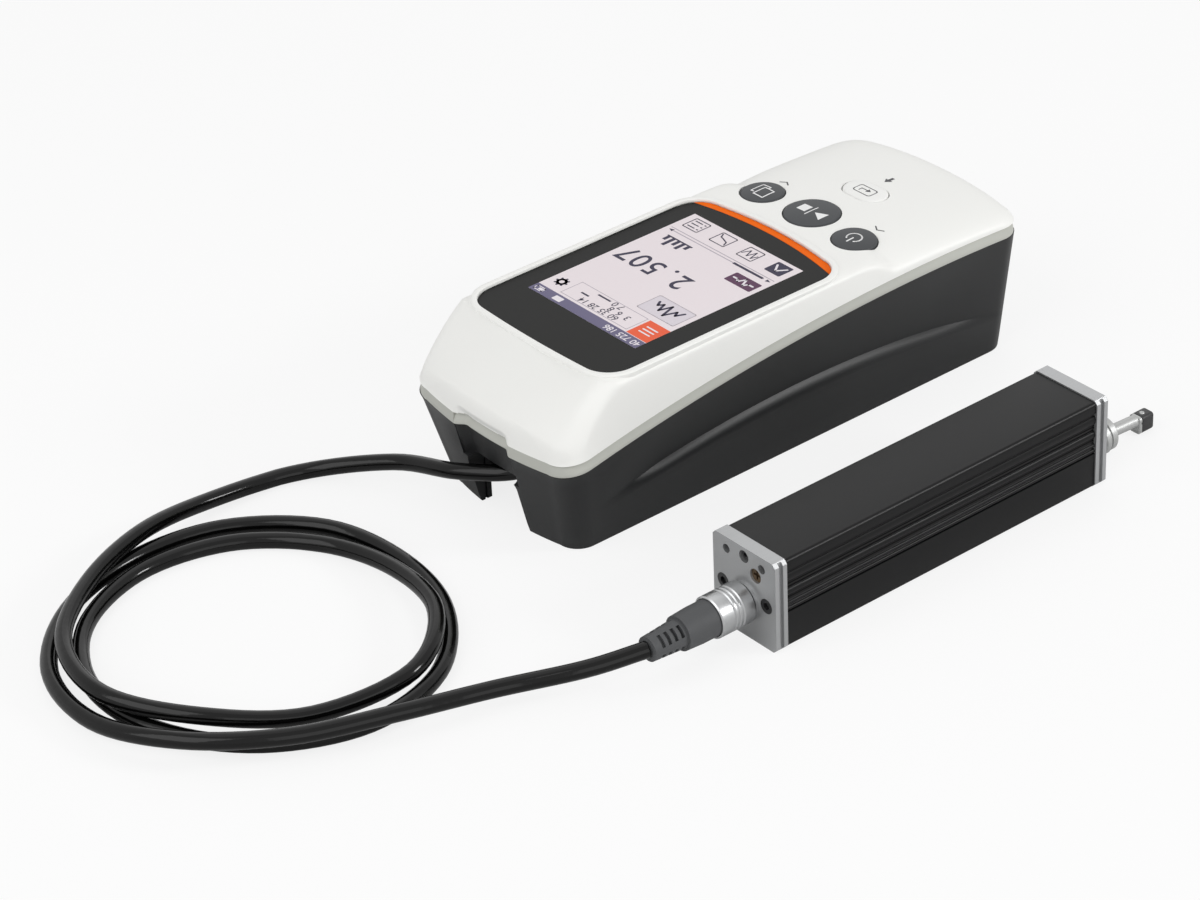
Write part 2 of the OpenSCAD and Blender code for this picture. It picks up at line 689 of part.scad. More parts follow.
module port_sockets() {
    color("#6f7376") translate([port_x, disp_y + socket_y, port_z]) difference() {
        union() {
            translate([-case_wall - socket_lip, -socket_w / 2, -socket_h / 2])
                cube([case_wall + socket_lip, socket_w, socket_h]);
            translate([-case_wall - socket_l, -socket_w / 2 - socket_lip, -socket_h / 2 - socket_lip])
                cube([socket_l, socket_w + 2 * socket_lip, socket_h + 2 * socket_lip]);
        }
        translate([-socket_l, -socket_w / 4 - usb_w / 2, -usb_h / 2]) cube([2 * socket_l, usb_w, usb_h]);
        translate([-socket_l, socket_w / 4, 0]) rotate([0, 90, 0])
            cylinder(d = jack_d, h = 2 * socket_l, $fn = round_fn);
    }
}

// Coupling sleeve with three fine rings. Its axis runs along -X from x = 0.
ring_shares = [0.36, 0.48, 0.6];
module plug_shell(d, l) {
    bore = (core_d + run) / 2;
    wide = (neck_d + run) / 2;
    step = l - neck_l - sleeve_draw;
    rotate([0, -90, 0]) rotate_extrude($fn = round_fn) polygon(concat(
        [[bore, 0], [d / 2 - ring_d, 0], [d / 2, ring_d]],
        [for (s = ring_shares) each [
            [d / 2, s * l - ring_d], [d / 2 - ring_d, s * l], [d / 2, s * l + ring_d]]],
        [[d / 2, l - ring_d], [d / 2 - ring_d, l], [wide, l], [wide, step], [bore, step]]));
}
neck_l = 3;
neck_d = sleeve_d - 1.4;
ring_d = 0.35;
core_d = 8.6;
dock_d = 9.6;
dock_lip = 1.2;
dock_roof = 1;
socket_z = bay_h - dock_roof - (dock_d + dock_lip) / 2;
boot_turn_share = 0.6;
boot_r_share = 0.47;
tail_r_share = 0.4;
module boot_form(d, l) {
    rotate([0, -90, 0]) rotate_extrude($fn = round_fn) polygon([
        [0, 0], [d / 2, 0], [d / 2, boot_turn_share * l], [d * boot_r_share, l], [0, l]]);
}
// The slotted tail: a tapered sleeve with rows of slots round the cable
slot_rows = 4;
slot_first_share = 0.14;
slot_pitch_share = 0.2;
slot_l_share = 0.1;
slot_span = 3.4;
slot_floor = 0.3;
module boot_tail(d, l) {
    difference() {
        rotate([0, -90, 0])
            cylinder(r1 = d * tail_r_share, r2 = cord_d / 2 + tail_wall, h = l, $fn = round_fn);
        for (i = [0:slot_rows - 1], a = [45:90:315])
            translate([-l * (slot_first_share + slot_pitch_share * i), 0, 0]) rotate([a, 0, 0])
                translate([-l * slot_l_share / 2, -slot_span / 2, cord_d / 2 + slot_floor])
                    cube([l * slot_l_share, slot_span, d]);
    }
}
tail_wall = 1.1;

module bay_socket() {
    r = dock_d / 2;
    color("#8d9092") translate([bay_x1, disp_y, socket_z]) rotate([0, -90, 0]) {
        translate([0, 0, -bay_wall - dock_lip]) cylinder(r = r, h = bay_wall + dock_lip, $fn = round_fn);
        cylinder(r = r + dock_lip / 2, h = dock_lip, $fn = round_fn);
    }
}
bay_plug_x = bay_x1 - dock_lip;
module bay_plug() {
    color("#a9abad") translate([bay_plug_x, disp_y, socket_z]) rotate([0, -90, 0])
        cylinder(d = neck_d, h = sleeve_l, $fn = round_fn);
}
module bay_boot() {
    color("#555757") translate([bay_plug_x - sleeve_l, disp_y, socket_z]) {
        boot_form(neck_d, boot_l);
        translate([-boot_l, 0, 0]) boot_tail(neck_d, tail_l);
    }
}
bay_cord_x = bay_plug_x - sleeve_l - boot_l - tail_l;

// Drive unit. Local frame: X from the rear plate's face, Y from the middle, Z from the table.
module at_drive() { translate([drive_x0, drive_y, 0]) children(); }
// Outline of the extrusion: round top edges, four ribs and grooves over the upper part of each side
rib_shares = [0.405, 0.555, 0.705, 0.85];
rib_cut = 0.8;
rib_in = 0.5;
function half_profile(w, z0, z1, r, cut) = concat(
    [[0, z0], [w - cut, z0], [w, z0 + cut]],
    [for (s = rib_shares) let(z = mix(z0, z1, s))
        each [[w, z - rib_cut], [w - cut, z - rib_cut / 2], [w - cut, z + rib_cut / 2], [w, z + rib_cut]]],
    [for (i = [0:5]) let(a = 18 * i) [w - r + r * cos(a), z1 - r + r * sin(a)]], [[0, z1]]);
function mirrored(h) = concat(h, [for (i = [len(h) - 2:-1:1]) [-h[i][0], h[i][1]]]);
screw_off = 8;
screw_z = 12.5;
plate_screw_d = 2.4;
plate_head_d = 4.2;
plate_head_t = 2;
lug_d = 5;
cav_w = drive_w - 2 * body_in - 2 * body_wall;
cav_z0 = body_in + body_wall;
cav_z1 = drive_h - body_in - body_wall;
module drive_housing() {
    w = drive_w / 2 - body_in;
    color("#2a2b2c") at_drive() translate([plate_t, 0, 0]) rotate([90, 0, 90]) difference() {
        linear_extrude(height = drive_l - 2 * plate_t) difference() {
            polygon(mirrored(half_profile(w, body_in, drive_h - body_in, body_r, rib_in)));
            difference() {
                translate([-cav_w / 2, cav_z0]) square([cav_w, cav_z1 - cav_z0]);
                for (y = [-1, 1]) translate([y * screw_off, screw_z]) circle(d = lug_d, $fn = round_fn);
            }
        }
        for (y = [-1, 1]) translate([y * screw_off, screw_z, -over])
            cylinder(d = plate_screw_d + 2 * fit, h = drive_l, $fn = round_fn);
    }
}
plate_edge = 1;
hole_d = 2.5;
hole_off = 6.5;
hole_z = 22.6;
key_hole_d = 3.4;
hole_up = 0.7;
adjust_d = 4;
adjust_y = -4.2;
adjust_z = 19.6;
module end_plate(bores) {
    w = drive_w / 2;
    e = plate_edge;
    difference() {
        rotate([90, 0, 90]) linear_extrude(height = plate_t) polygon([
            [-w + e, 0], [w - e, 0], [w, e], [w, drive_h - e], [w - e, drive_h], [-w + e, drive_h],
            [-w, drive_h - e], [-w, e]]);
        for (y = [-1, 1]) translate([plate_t / 2 - groove_w / 2, y * w - groove_d, -over])
            cube([groove_w, 2 * groove_d, drive_h + 2 * over]);
        for (y = [-1, 1]) translate([-over, y * screw_off, screw_z]) rotate([0, 90, 0])
            cylinder(d = plate_screw_d + 2 * fit, h = plate_t + 2 * over, $fn = round_fn);
        if (bores) {
            for (y = [-1, 1]) translate([-over, y * hole_off, hole_z]) rotate([0, 90, 0])
                cylinder(d = hole_d, h = plate_t + 2 * over, $fn = round_fn);
            for (y = [-1, 1]) translate([-over, y * screw_off, screw_z]) rotate([0, 90, 0])
                cylinder(d = plate_head_d, h = plate_head_t + over, $fn = round_fn);
            translate([-over, 0, hole_z + hole_up]) rotate([0, 90, 0])
                cylinder(d = key_hole_d, h = plate_head_t + over, $fn = round_fn);
            translate([-over, adjust_y, adjust_z]) rotate([0, 90, 0])
                cylinder(d = adjust_d, h = plate_head_t + over, $fn = round_fn);
            translate([-over, 0, conn_z]) rotate([0, 90, 0])
                cylinder(d = dock_d, h = plate_t + 2 * over, $fn = round_fn);
        } else {
            for (y = [-1, 1]) translate([plate_t - plate_head_t, y * screw_off, screw_z]) rotate([0, 90, 0])
                cylinder(d = plate_head_d, h = plate_head_t + over, $fn = round_fn);
            translate([-over, 0, probe_z]) rotate([0, 90, 0])
                cylinder(r = probe_r + run, h = plate_t + 2 * over, $fn = round_fn);
        }
    }
}
module rear_plate() { color("#a9abad") at_drive() end_plate(true); }
module front_plate() { color("#a9abad") at_drive() translate([drive_l - plate_t, 0, 0]) end_plate(false); }
// Hex socket screws, heads in their counterbores, shanks in the extrusion's lugs
shank_l = 9;
hex_d = 2.2;
module cap_screw() {
    difference() {
        cylinder(d = plate_head_d - 2 * fit, h = plate_head_t, $fn = round_fn);
        translate([0, 0, -over]) cylinder(d = hex_d, h = plate_head_t / 2 + over, $fn = 6);
    }
    translate([0, 0, plate_head_t]) cylinder(d = plate_screw_d, h = shank_l, $fn = round_fn);
}
module plate_screws() {
    color("#2b2b2c") at_drive() for (y = [-1, 1]) {
        translate([0, y * screw_off, screw_z]) rotate([0, 90, 0]) cap_screw();
        translate([drive_l, y * screw_off, screw_z]) rotate([0, -90, 0]) cap_screw();
    }
}
cross_w = 0.6;
cross_l = 2.6;
adjust_sunk = 0.6;
module adjust_screw() {
    color("#8b6f4e") at_drive() at_axis(adjust_sunk, adjust_y, adjust_z) difference() {
        cylinder(d = adjust_d - 2 * fit, h = plate_head_t - adjust_sunk, $fn = round_fn);
        for (a = [0, 90]) rotate([0, 0, a]) translate([-cross_l / 2, -cross_w / 2, -over])
            cube([cross_l, cross_w, cross_w + over]);
    }
}

// Connector shell in the rear plate, the plug's core and its coupling sleeve
shell_in = 6;
collar_t = 0.8;
core_l = sleeve_l - neck_l;
module connector_shell() {
    color("#9c9ea0") at_drive() translate([0, 0, conn_z]) rotate([0, -90, 0]) rotate_extrude($fn = round_fn)
        polygon([[0, -shell_in], [dock_d / 2, -shell_in], [dock_d / 2, 0], [dock_d / 2 + collar_t / 2, 0],
            [dock_d / 2 + collar_t / 2, collar_t], [0, collar_t]]);
}
module plug_core() {
    color("#77797b") at_drive() translate([-collar_t, 0, conn_z]) rotate([0, -90, 0])
        cylinder(d = core_d, h = core_l, $fn = round_fn);
}
sleeve_gap = 0.3;
module coupling_sleeve() {
    color("#b4b6b8") at_drive() translate([-collar_t - sleeve_gap, 0, conn_z])
        plug_shell(sleeve_d, sleeve_l - sleeve_gap);
}
boot_x = drive_x0 - collar_t - core_l;
module cable_boot() {
    color("#555757") translate([boot_x, drive_y, conn_z]) {
        boot_form(neck_d, neck_l + boot_l);
        translate([-neck_l - boot_l, 0, 0]) boot_tail(neck_d, tail_l);
    }
}
drive_cord_x = boot_x - neck_l - boot_l - tail_l;

// Traverse mechanism: a frame with two bulkheads, a geared motor, a screw, rods and a carriage
frame_t = 1.8;
bulk_t = 3;
bulk_w = 2 * (screw_off - lug_d / 2) - 2 * run;
bulk_x0 = 46;
bulk_x1 = 96;
motor_d = 9;
motor_l = 19;
gear_l = 12;
lead_d = 3;
lead_z = 17.2;
rod_d = 2;
rod_off = 3.4;
rod_z = 10.6;
carr_l = 16;
carr_x = bulk_x1 - run - probe_travel - carr_l;
bulk_h = cav_z1 - board_t - cav_z0;
shaft_r = 1.8;
module at_axis(x, y, z) { translate([x, y, z]) rotate([0, 90, 0]) children(); }
module drive_frame() {
    bore_l = bulk_x1 - bulk_x0 + bulk_t + 2 * over;
    color("#8e9194") at_drive() difference() {
        translate([0, -bulk_w / 2, cav_z0]) {
            for (x = [bulk_x0, bulk_x1]) translate([x, 0, 0]) cube([bulk_t, bulk_w, bulk_h]);
            translate([bulk_x0 - motor_l - gear_l, 0, 0])
                cube([motor_l + gear_l + bulk_t, bulk_w, lead_z - motor_d / 2 - cav_z0]);
            translate([bulk_x0, 0, bulk_h - frame_t]) cube([bulk_x1 - bulk_x0 + bulk_t, bulk_w, frame_t]);
        }
        at_axis(bulk_x0 - over, 0, lead_z) cylinder(d = lead_d + 2 * fit, h = bore_l, $fn = round_fn);
        for (y = [-1, 1]) at_axis(bulk_x0 - over, y * rod_off, rod_z)
            cylinder(d = rod_d + 2 * fit, h = bore_l, $fn = round_fn);
        at_axis(bulk_x1 - over, 0, probe_z)
            cylinder(r = shaft_r + run, h = bulk_t + 2 * over, $fn = round_fn);
    }
}
module drive_motor() {
    color("#b9bbbd") at_drive() at_axis(bulk_x0 - gear_l - motor_l, 0, lead_z)
        cylinder(d = motor_d, h = motor_l, $fn = round_fn);
}
module gearhead() {
    color("#a38b4f") at_drive() at_axis(bulk_x0 - gear_l, 0, lead_z) difference() {
        cylinder(d = motor_d, h = gear_l, $fn = round_fn);
        translate([0, 0, gear_l / 2]) cylinder(d = lead_d + 2 * fit, h = gear_l, $fn = round_fn);
    }
}
module leadscrew() {
    color("#c9cbcc") at_drive() at_axis(bulk_x0 - gear_l / 2 + fit, 0, lead_z)
        cylinder(d = lead_d, h = bulk_x1 - bulk_x0 + bulk_t + gear_l / 2 - 2 * fit, $fn = round_fn);
}
module guide_rods() {
    color("#d0d2d3") at_drive() for (y = [-1, 1]) at_axis(bulk_x0, y * rod_off, rod_z)
        cylinder(d = rod_d, h = bulk_x1 - bulk_x0 + bulk_t, $fn = round_fn);
}
module carriage() {
    color("#7d8184") at_drive() difference() {
        translate([carr_x, -bulk_w / 2 + fit, cav_z0 + run])
            cube([carr_l, bulk_w - 2 * fit, bulk_h - frame_t - 2 * run]);
        at_axis(carr_x - over, 0, lead_z)
            cylinder(d = lead_d + 2 * fit, h = carr_l + 2 * over, $fn = round_fn);
        for (y = [-1, 1]) at_axis(carr_x - over, y * rod_off, rod_z)
            cylinder(d = rod_d + 2 * fit, h = carr_l + 2 * over, $fn = round_fn);
        at_axis(carr_x + carr_l / 2, 0, probe_z) cylinder(r = shaft_r, h = carr_l, $fn = round_fn);
    }
}
module drive_board() {
    color("#1f6b4a") at_drive() translate([bulk_x0 - motor_l, -bulk_w / 2, cav_z1 - board_t])
        cube([bulk_x1 - bulk_x0 + motor_l, bulk_w, board_t]);
}

// Detector: a shaft in the carriage, the body outside, the rod and the head
body_start = drive_l - plate_t + over;
collar_out = 6.2;
collar_x = drive_l + collar_out;
collar_l = 4.8;
seal_r = 4.3;
seal_l = 1.6;
module detector_body() {
    x0 = carr_x + carr_l / 2;
    color("#c2c4c4") at_drive() at_axis(x0, 0, probe_z) rotate_extrude($fn = round_fn) polygon([
        [0, 0], [shaft_r, 0], [shaft_r, body_start - x0], [probe_r, body_start - x0],
        [probe_r, collar_x - seal_l - x0], [seal_r, collar_x - seal_l - x0], [seal_r, collar_x - x0],
        [collar_r, collar_x - x0], [collar_r, collar_x + collar_l - over - x0],
        [collar_r - over, collar_x + collar_l - x0], [rod_r + over, collar_x + collar_l - x0],
        [rod_r, collar_x + collar_l + over - x0], [rod_r, head_x - x0], [0, head_x - x0]]);
}
head_x = collar_x + collar_l + rod_l;
head_z = 0.9;
slot_w = 1.4;
pivot_d = 0.8;
slot_x_share = 0.16;
slot_h_share = 0.72;
pivot_x_share = 0.36;
pivot_z_share = 0.52;
tip_x_share = 0.74;
head_cut = 0.8;
module detector_head() {
    color("#333435") at_drive() translate([head_x, 0, head_z]) difference() {
        rotate([90, 0, 0]) translate([0, 0, -head_w / 2]) linear_extrude(height = head_w) polygon([
            [0, 0], [head_l - head_cut, 0], [head_l, head_cut], [head_l, head_h - head_cut],
            [head_l - head_cut, head_h], [0, head_h]]);
        translate([slot_x_share * head_l, -slot_w / 2, -over])
            cube([head_l, slot_w, slot_h_share * head_h + over]);
        translate([head_l * pivot_x_share, -head_w / 2 - over, head_h * pivot_z_share]) rotate([-90, 0, 0])
            cylinder(d = pivot_d, h = head_w + 2 * over, $fn = round_fn);
    }
}
pivot_x = head_x + head_l * pivot_x_share;
pivot_z = head_z + head_h * pivot_z_share;
module stylus_pivot() {
    color("#d5d7d8") at_drive() translate([pivot_x, -head_w / 2, pivot_z]) rotate([-90, 0, 0])
        cylinder(d = pivot_d, h = head_w, $fn = round_fn);
}
arm_t = 0.9;
arm_h = 1.3;
tip_r = 0.3;
tip_flat = 0.05;
tip_up = 0.15;
module stylus_arm() {
    tip_x = head_x + head_l * tip_x_share;
    color("#c9b27a") at_drive() difference() {
        union() {
            translate([pivot_x - arm_h / 2, -arm_t / 2, pivot_z - arm_h / 2])
                cube([tip_x - pivot_x + arm_h / 2 + tip_r, arm_t, arm_h]);
            translate([tip_x, 0, tip_up])
                cylinder(r1 = tip_flat, r2 = tip_r, h = pivot_z - tip_up, $fn = round_fn);
        }
        translate([pivot_x, -arm_t, pivot_z]) rotate([-90, 0, 0])
            cylinder(d = pivot_d + 2 * fit, h = 2 * arm_t, $fn = round_fn);
    }
}

// Cable: the points lie on its centre line, between the plug in the bay and the boot
cord_sides = 8;
cord_bends = [
    [-6, 31, 18], [-32, 29, 18], [-58, 25.5, 16], [-73, 27.5, 13.8], [-82.5, 41, 11], [-88, 62, 7],
    [-104, 82, 2.4], [-130, 86, 3.5], [-155, 81, 6.8], [-179, 70, 7.3], [-198, 52, 7.2], [-203, 27, 7.2],
    [-190, 4, 6.4], [-167, -9, 2.4], [-141, -15, 5.8], [-122, 0, 7.2], [-116, 25, 5], [-120.5, 50, 2.4],
    [-138, 67, 2.4], [-163, 71.5, 2.4], [-187, 60, 2.4], [-200, 37, 2.4], [-198, 11, 2.4],
    [-183, -10.5, 2.4], [-159, -21.5, 2.4], [-134, -16, 2.4], [-116, 4, 2.4], [-110, 29, 2.4],
    [-115, 55.5, 2.4], [-135, 74, 2.4], [-161, 78, 2.4], [-186, 69.5, 2.4], [-204, 50, 2.4],
    [-209, 24, 3.5], [-200, -1, 6.9], [-180, -18, 7.2], [-155, -27.5, 6.8], [-131, -34, 5.5],
    [-112, -46, 8.5]];
cord_knots = concat([[bay_cord_x, disp_y, socket_z]], cord_bends, [[drive_cord_x, drive_y, conn_z]]);
cord_last = len(cord_knots) - 1;
// Midway between two knots on a smooth curve through them and their neighbours
function midway(i) = let(
        a = i > 0 ? cord_knots[i - 1] : 2 * cord_knots[0] - cord_knots[1],
        b = i + 2 <= cord_last ? cord_knots[i + 2] : 2 * cord_knots[cord_last] - cord_knots[cord_last - 1])
    (9 * (cord_knots[i] + cord_knots[i + 1]) - a - b) / 16;
cord_line = [for (i = [0:cord_last])
    each (i > 0 && i < cord_last ? [cord_knots[i], midway(i)] : [cord_knots[i]])];
function unit(v) = v / norm(v);
module cable() {
    m = len(cord_line);
    n = cord_sides;
    points = [for (k = [0:m - 1]) let(
            t = k == 0 ? [-1, 0, 0] : k == m - 1 ? [1, 0, 0] : unit(cord_line[k + 1] - cord_line[k - 1]),
            side = unit(cross(t, [0, 0, 1])),
            up = cross(side, t))
        for (i = [0:n - 1]) let(a = 360 * (i + 0.5) / n)
            cord_line[k] + cord_d / 2 * (cos(a) * side + sin(a) * up)];
    color("#141414") polyhedron(points = points, faces = concat(
        [[for (i = [0:n - 1]) i]],
        [for (k = [0:m - 2]) for (i = [0:n - 1]) let(j = (i + 1) % n)
            [k * n + j, k * n + i, (k + 1) * n + i, (k + 1) * n + j]],
        [[for (i = [n - 1:-1:0]) (m - 1) * n + i]]));
}

lower_case();
top_cover();
window_glass();
accent_strip();
display_module();
main_board();
key_board();
page_key();
start_key();
power_key();
enter_key();
battery_pack();
battery_cover();
case_screws();
port_cover();
port_pin();
port_sockets();
bay_socket();
bay_plug();
bay_boot();
cable();
drive_housing();
rear_plate();
front_plate();
plate_screws();
adjust_screw();
connector_shell();
coupling_sleeve();
plug_core();
cable_boot();
drive_frame();
drive_motor();
gearhead();
leadscrew();
guide_rods();
carriage();
drive_board();
detector_body();
detector_head();
stylus_arm();
stylus_pivot();
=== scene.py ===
"""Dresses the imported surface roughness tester: camera, studio, cable, display unit and drive unit."""
import logging
import math
from dataclasses import dataclass
from enum import Enum
from typing import Callable, Iterable, Optional, Sequence, Union

import bmesh
import bpy
import numpy as np
from mathutils import Matrix, Vector


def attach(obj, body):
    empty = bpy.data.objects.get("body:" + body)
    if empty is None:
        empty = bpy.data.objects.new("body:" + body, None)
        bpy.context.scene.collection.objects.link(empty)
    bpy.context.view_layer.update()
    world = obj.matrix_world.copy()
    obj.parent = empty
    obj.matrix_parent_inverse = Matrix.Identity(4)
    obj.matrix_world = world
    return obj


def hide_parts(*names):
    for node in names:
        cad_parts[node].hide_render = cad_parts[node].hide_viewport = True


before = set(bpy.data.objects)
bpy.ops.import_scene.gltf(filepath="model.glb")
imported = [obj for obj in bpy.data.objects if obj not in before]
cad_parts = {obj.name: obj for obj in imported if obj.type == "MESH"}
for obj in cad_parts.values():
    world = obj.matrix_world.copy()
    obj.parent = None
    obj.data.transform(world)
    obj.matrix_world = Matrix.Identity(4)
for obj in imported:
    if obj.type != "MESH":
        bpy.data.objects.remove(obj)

LOG = logging.getLogger("scene")
MM = 0.001
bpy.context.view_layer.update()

Point = tuple[float, float]
Place = tuple[float, float, float]
Shape = list[Point]
HeightMap = Union[float, Callable[[float, float], float]]


class Grain(Enum):
    """Kinds of fine surface, each one shared node group."""

    MOULDED = "moulded_grain"
    BRUSHED = "brushed_lines"
    SMOOTH = "smooth_skin"


@dataclass(frozen=True)
class Finish:
    """How one kind of surface looks.

    Args:
        name: material name.
        color: linear base colour.
        rough: roughness.
        metal: metallic share.
        grain: kind of fine surface.
        size: size of the grain in metres.
        bump: height of the grain in metres.
        tone: how much the grain darkens and lightens the colour.
        glow: emission strength, for the lit display.
        shine: level of the plain reflection; 0.5 is a common plastic.
    """

    name: str
    color: tuple[float, float, float]
    rough: float = 0.5
    metal: float = 0.0
    grain: Grain = Grain.MOULDED
    size: float = 0.0006
    bump: float = 0.00002
    tone: float = 0.06
    glow: float = 0.0
    shine: float = 0.5


class Finishes:
    """Every finish of the object."""

    COVER = Finish("cover_white", (0.86, 0.86, 0.835), 0.45, size=0.0005, bump=0.000006, tone=0.015)
    # The lip is the cover's own white plastic; this grey copy of it is painted shade for the shadow under the
    # cover's edge.
    LIP = Finish("cover_lip_painted_shade", (0.47, 0.475, 0.435), 0.5, size=0.0005, bump=0.000006, tone=0.02)
    CASE = Finish("case_grey", (0.0125, 0.013, 0.0135), 0.4, size=0.0006, bump=0.00002, tone=0.12, shine=0.3)
    WINDOW = Finish("window_frame", (0.012, 0.012, 0.0115), 0.4, size=0.001, bump=0.000001, tone=0.02,
                    shine=0.08)
    ACCENT = Finish("accent_orange", (0.88, 0.14, 0.0), 0.5, bump=0.000003, tone=0.02, shine=0.08)
    SCREEN = Finish("display_face", (0.79, 0.72, 0.745), 0.5, bump=0.0, tone=0.01, glow=0.02, shine=0.2)
    HEADER = Finish("display_header", (0.125, 0.112, 0.20), 0.5, bump=0.0, tone=0.01, shine=0.3)
    MENU = Finish("display_menu", (0.80, 0.115, 0.045), 0.5, bump=0.0, tone=0.01, shine=0.2)
    BADGE = Finish("display_badge", (0.075, 0.018, 0.062), 0.5, bump=0.0, tone=0.01, shine=0.3)
    PALE = Finish("display_panel", (0.69, 0.64, 0.69), 0.5, bump=0.0, tone=0.01, shine=0.2)
    SHADE = Finish("display_line", (0.42, 0.38, 0.43), 0.5, bump=0.0, tone=0.01, shine=0.2)
    INK = Finish("display_ink", (0.032, 0.028, 0.058), 0.5, bump=0.0, tone=0.01, shine=0.2)
    SCREEN_WHITE = Finish("display_white", (0.80, 0.76, 0.80), 0.5, bump=0.0, tone=0.01, shine=0.3)
    KEY = Finish("key_grey", (0.040, 0.043, 0.047), 0.5, size=0.0004, bump=0.00001, tone=0.08, shine=0.35)
    KEY_WHITE = Finish("key_white", (0.86, 0.86, 0.84), 0.42, size=0.0004, bump=0.000005, tone=0.015)
    PRINT_WHITE = Finish("print_white", (0.82, 0.82, 0.82), 0.5, bump=0.0, tone=0.01)
    PRINT_DARK = Finish("print_dark", (0.045, 0.045, 0.05), 0.5, bump=0.0, tone=0.01)
    PORT = Finish("port_plastic", (0.016, 0.0165, 0.017), 0.55, bump=0.00002, tone=0.1, shine=0.35)
    SOCKET = Finish("socket_plastic", (0.10, 0.105, 0.11), 0.45, bump=0.00001)
    BOARD = Finish("board_green", (0.02, 0.13, 0.06), 0.4, bump=0.00001)
    BATTERY = Finish("battery_wrap", (0.03, 0.12, 0.35), 0.35, bump=0.000005)
    STEEL = Finish("screw_steel", (0.60, 0.61, 0.62), 0.3, 1.0, grain=Grain.SMOOTH, bump=0.000003)
    PIN = Finish("pin_steel", (0.72, 0.73, 0.74), 0.15, 1.0, grain=Grain.SMOOTH, bump=0.0)
    CHROME = Finish("connector_metal", (0.45, 0.455, 0.46), 0.36, 1.0, grain=Grain.SMOOTH, bump=0.000003)
    BOOT = Finish("boot_rubber", (0.075, 0.077, 0.08), 0.6, size=0.0005, bump=0.00002, tone=0.1, shine=0.3)
    CABLE = Finish("cable_black", (0.002, 0.002, 0.002), 0.13, size=0.011, bump=0.00016, tone=0.1, shine=0.25)
    EXTRUSION = Finish("extrusion_black", (0.0045, 0.0045, 0.0048), 0.34, grain=Grain.BRUSHED, size=0.0004,
                       bump=0.000002, tone=0.15, shine=0.17)
    PLATE = Finish("plate_aluminium", (0.38, 0.385, 0.39), 0.42, 0.7, grain=Grain.BRUSHED, size=0.0003,
                   bump=0.000008, tone=0.12)
    BLACKENED = Finish("screw_black", (0.02, 0.02, 0.021), 0.4, 0.3, grain=Grain.SMOOTH)
    BROWN = Finish("screw_brown", (0.10, 0.065, 0.035), 0.45, 0.6, grain=Grain.SMOOTH)
    FRAME = Finish("frame_aluminium", (0.42, 0.43, 0.44), 0.35, 0.9, grain=Grain.BRUSHED)
    MOTOR = Finish("motor_metal", (0.5, 0.51, 0.52), 0.3, 1.0, grain=Grain.BRUSHED)
    GEAR = Finish("gear_brass", (0.55, 0.42, 0.15), 0.3, 1.0, grain=Grain.BRUSHED)
    DETECTOR = Finish("detector_metal", (0.42, 0.425, 0.42), 0.45, 0.6, grain=Grain.SMOOTH, bump=0.000004)
    HEAD = Finish("head_black", (0.022, 0.022, 0.023), 0.45, bump=0.00001, shine=0.4)
    STYLUS = Finish("stylus_bronze", (0.55, 0.42, 0.2), 0.25, 1.0, grain=Grain.SMOOTH)


CAD_FINISHES: dict[str, Finish] = {
    "lower_case": Finishes.CASE, "top_cover": Finishes.COVER, "window_glass": Finishes.WINDOW,
    "accent_strip": Finishes.ACCENT, "display_module": Finishes.SCREEN, "main_board": Finishes.BOARD,
    "key_board": Finishes.BOARD, "page_key": Finishes.KEY, "start_key": Finishes.KEY,
    "power_key": Finishes.KEY, "enter_key": Finishes.KEY_WHITE, "battery_pack": Finishes.BATTERY,
    "battery_cover": Finishes.CASE, "case_screws": Finishes.STEEL, "port_cover": Finishes.PORT,
    "port_pin": Finishes.BLACKENED, "port_sockets": Finishes.SOCKET, "bay_socket": Finishes.CHROME,
    "bay_plug": Finishes.CHROME, "bay_boot": Finishes.BOOT, "cable": Finishes.CABLE,
    "drive_housing": Finishes.EXTRUSION, "rear_plate": Finishes.PLATE, "front_plate": Finishes.PLATE,
    "plate_screws": Finishes.BLACKENED, "adjust_screw": Finishes.BROWN,
    "connector_shell": Finishes.CHROME, "coupling_sleeve": Finishes.CHROME,
    "plug_core": Finishes.SOCKET, "cable_boot": Finishes.BOOT, "drive_frame": Finishes.FRAME,
    "drive_motor": Finishes.MOTOR, "gearhead": Finishes.GEAR, "leadscrew": Finishes.STEEL,
    "guide_rods": Finishes.PIN, "carriage": Finishes.FRAME, "drive_board": Finishes.BOARD,
    "detector_body": Finishes.DETECTOR, "detector_head": Finishes.HEAD,
    "stylus_arm": Finishes.STYLUS, "stylus_pivot": Finishes.BLACKENED,
}


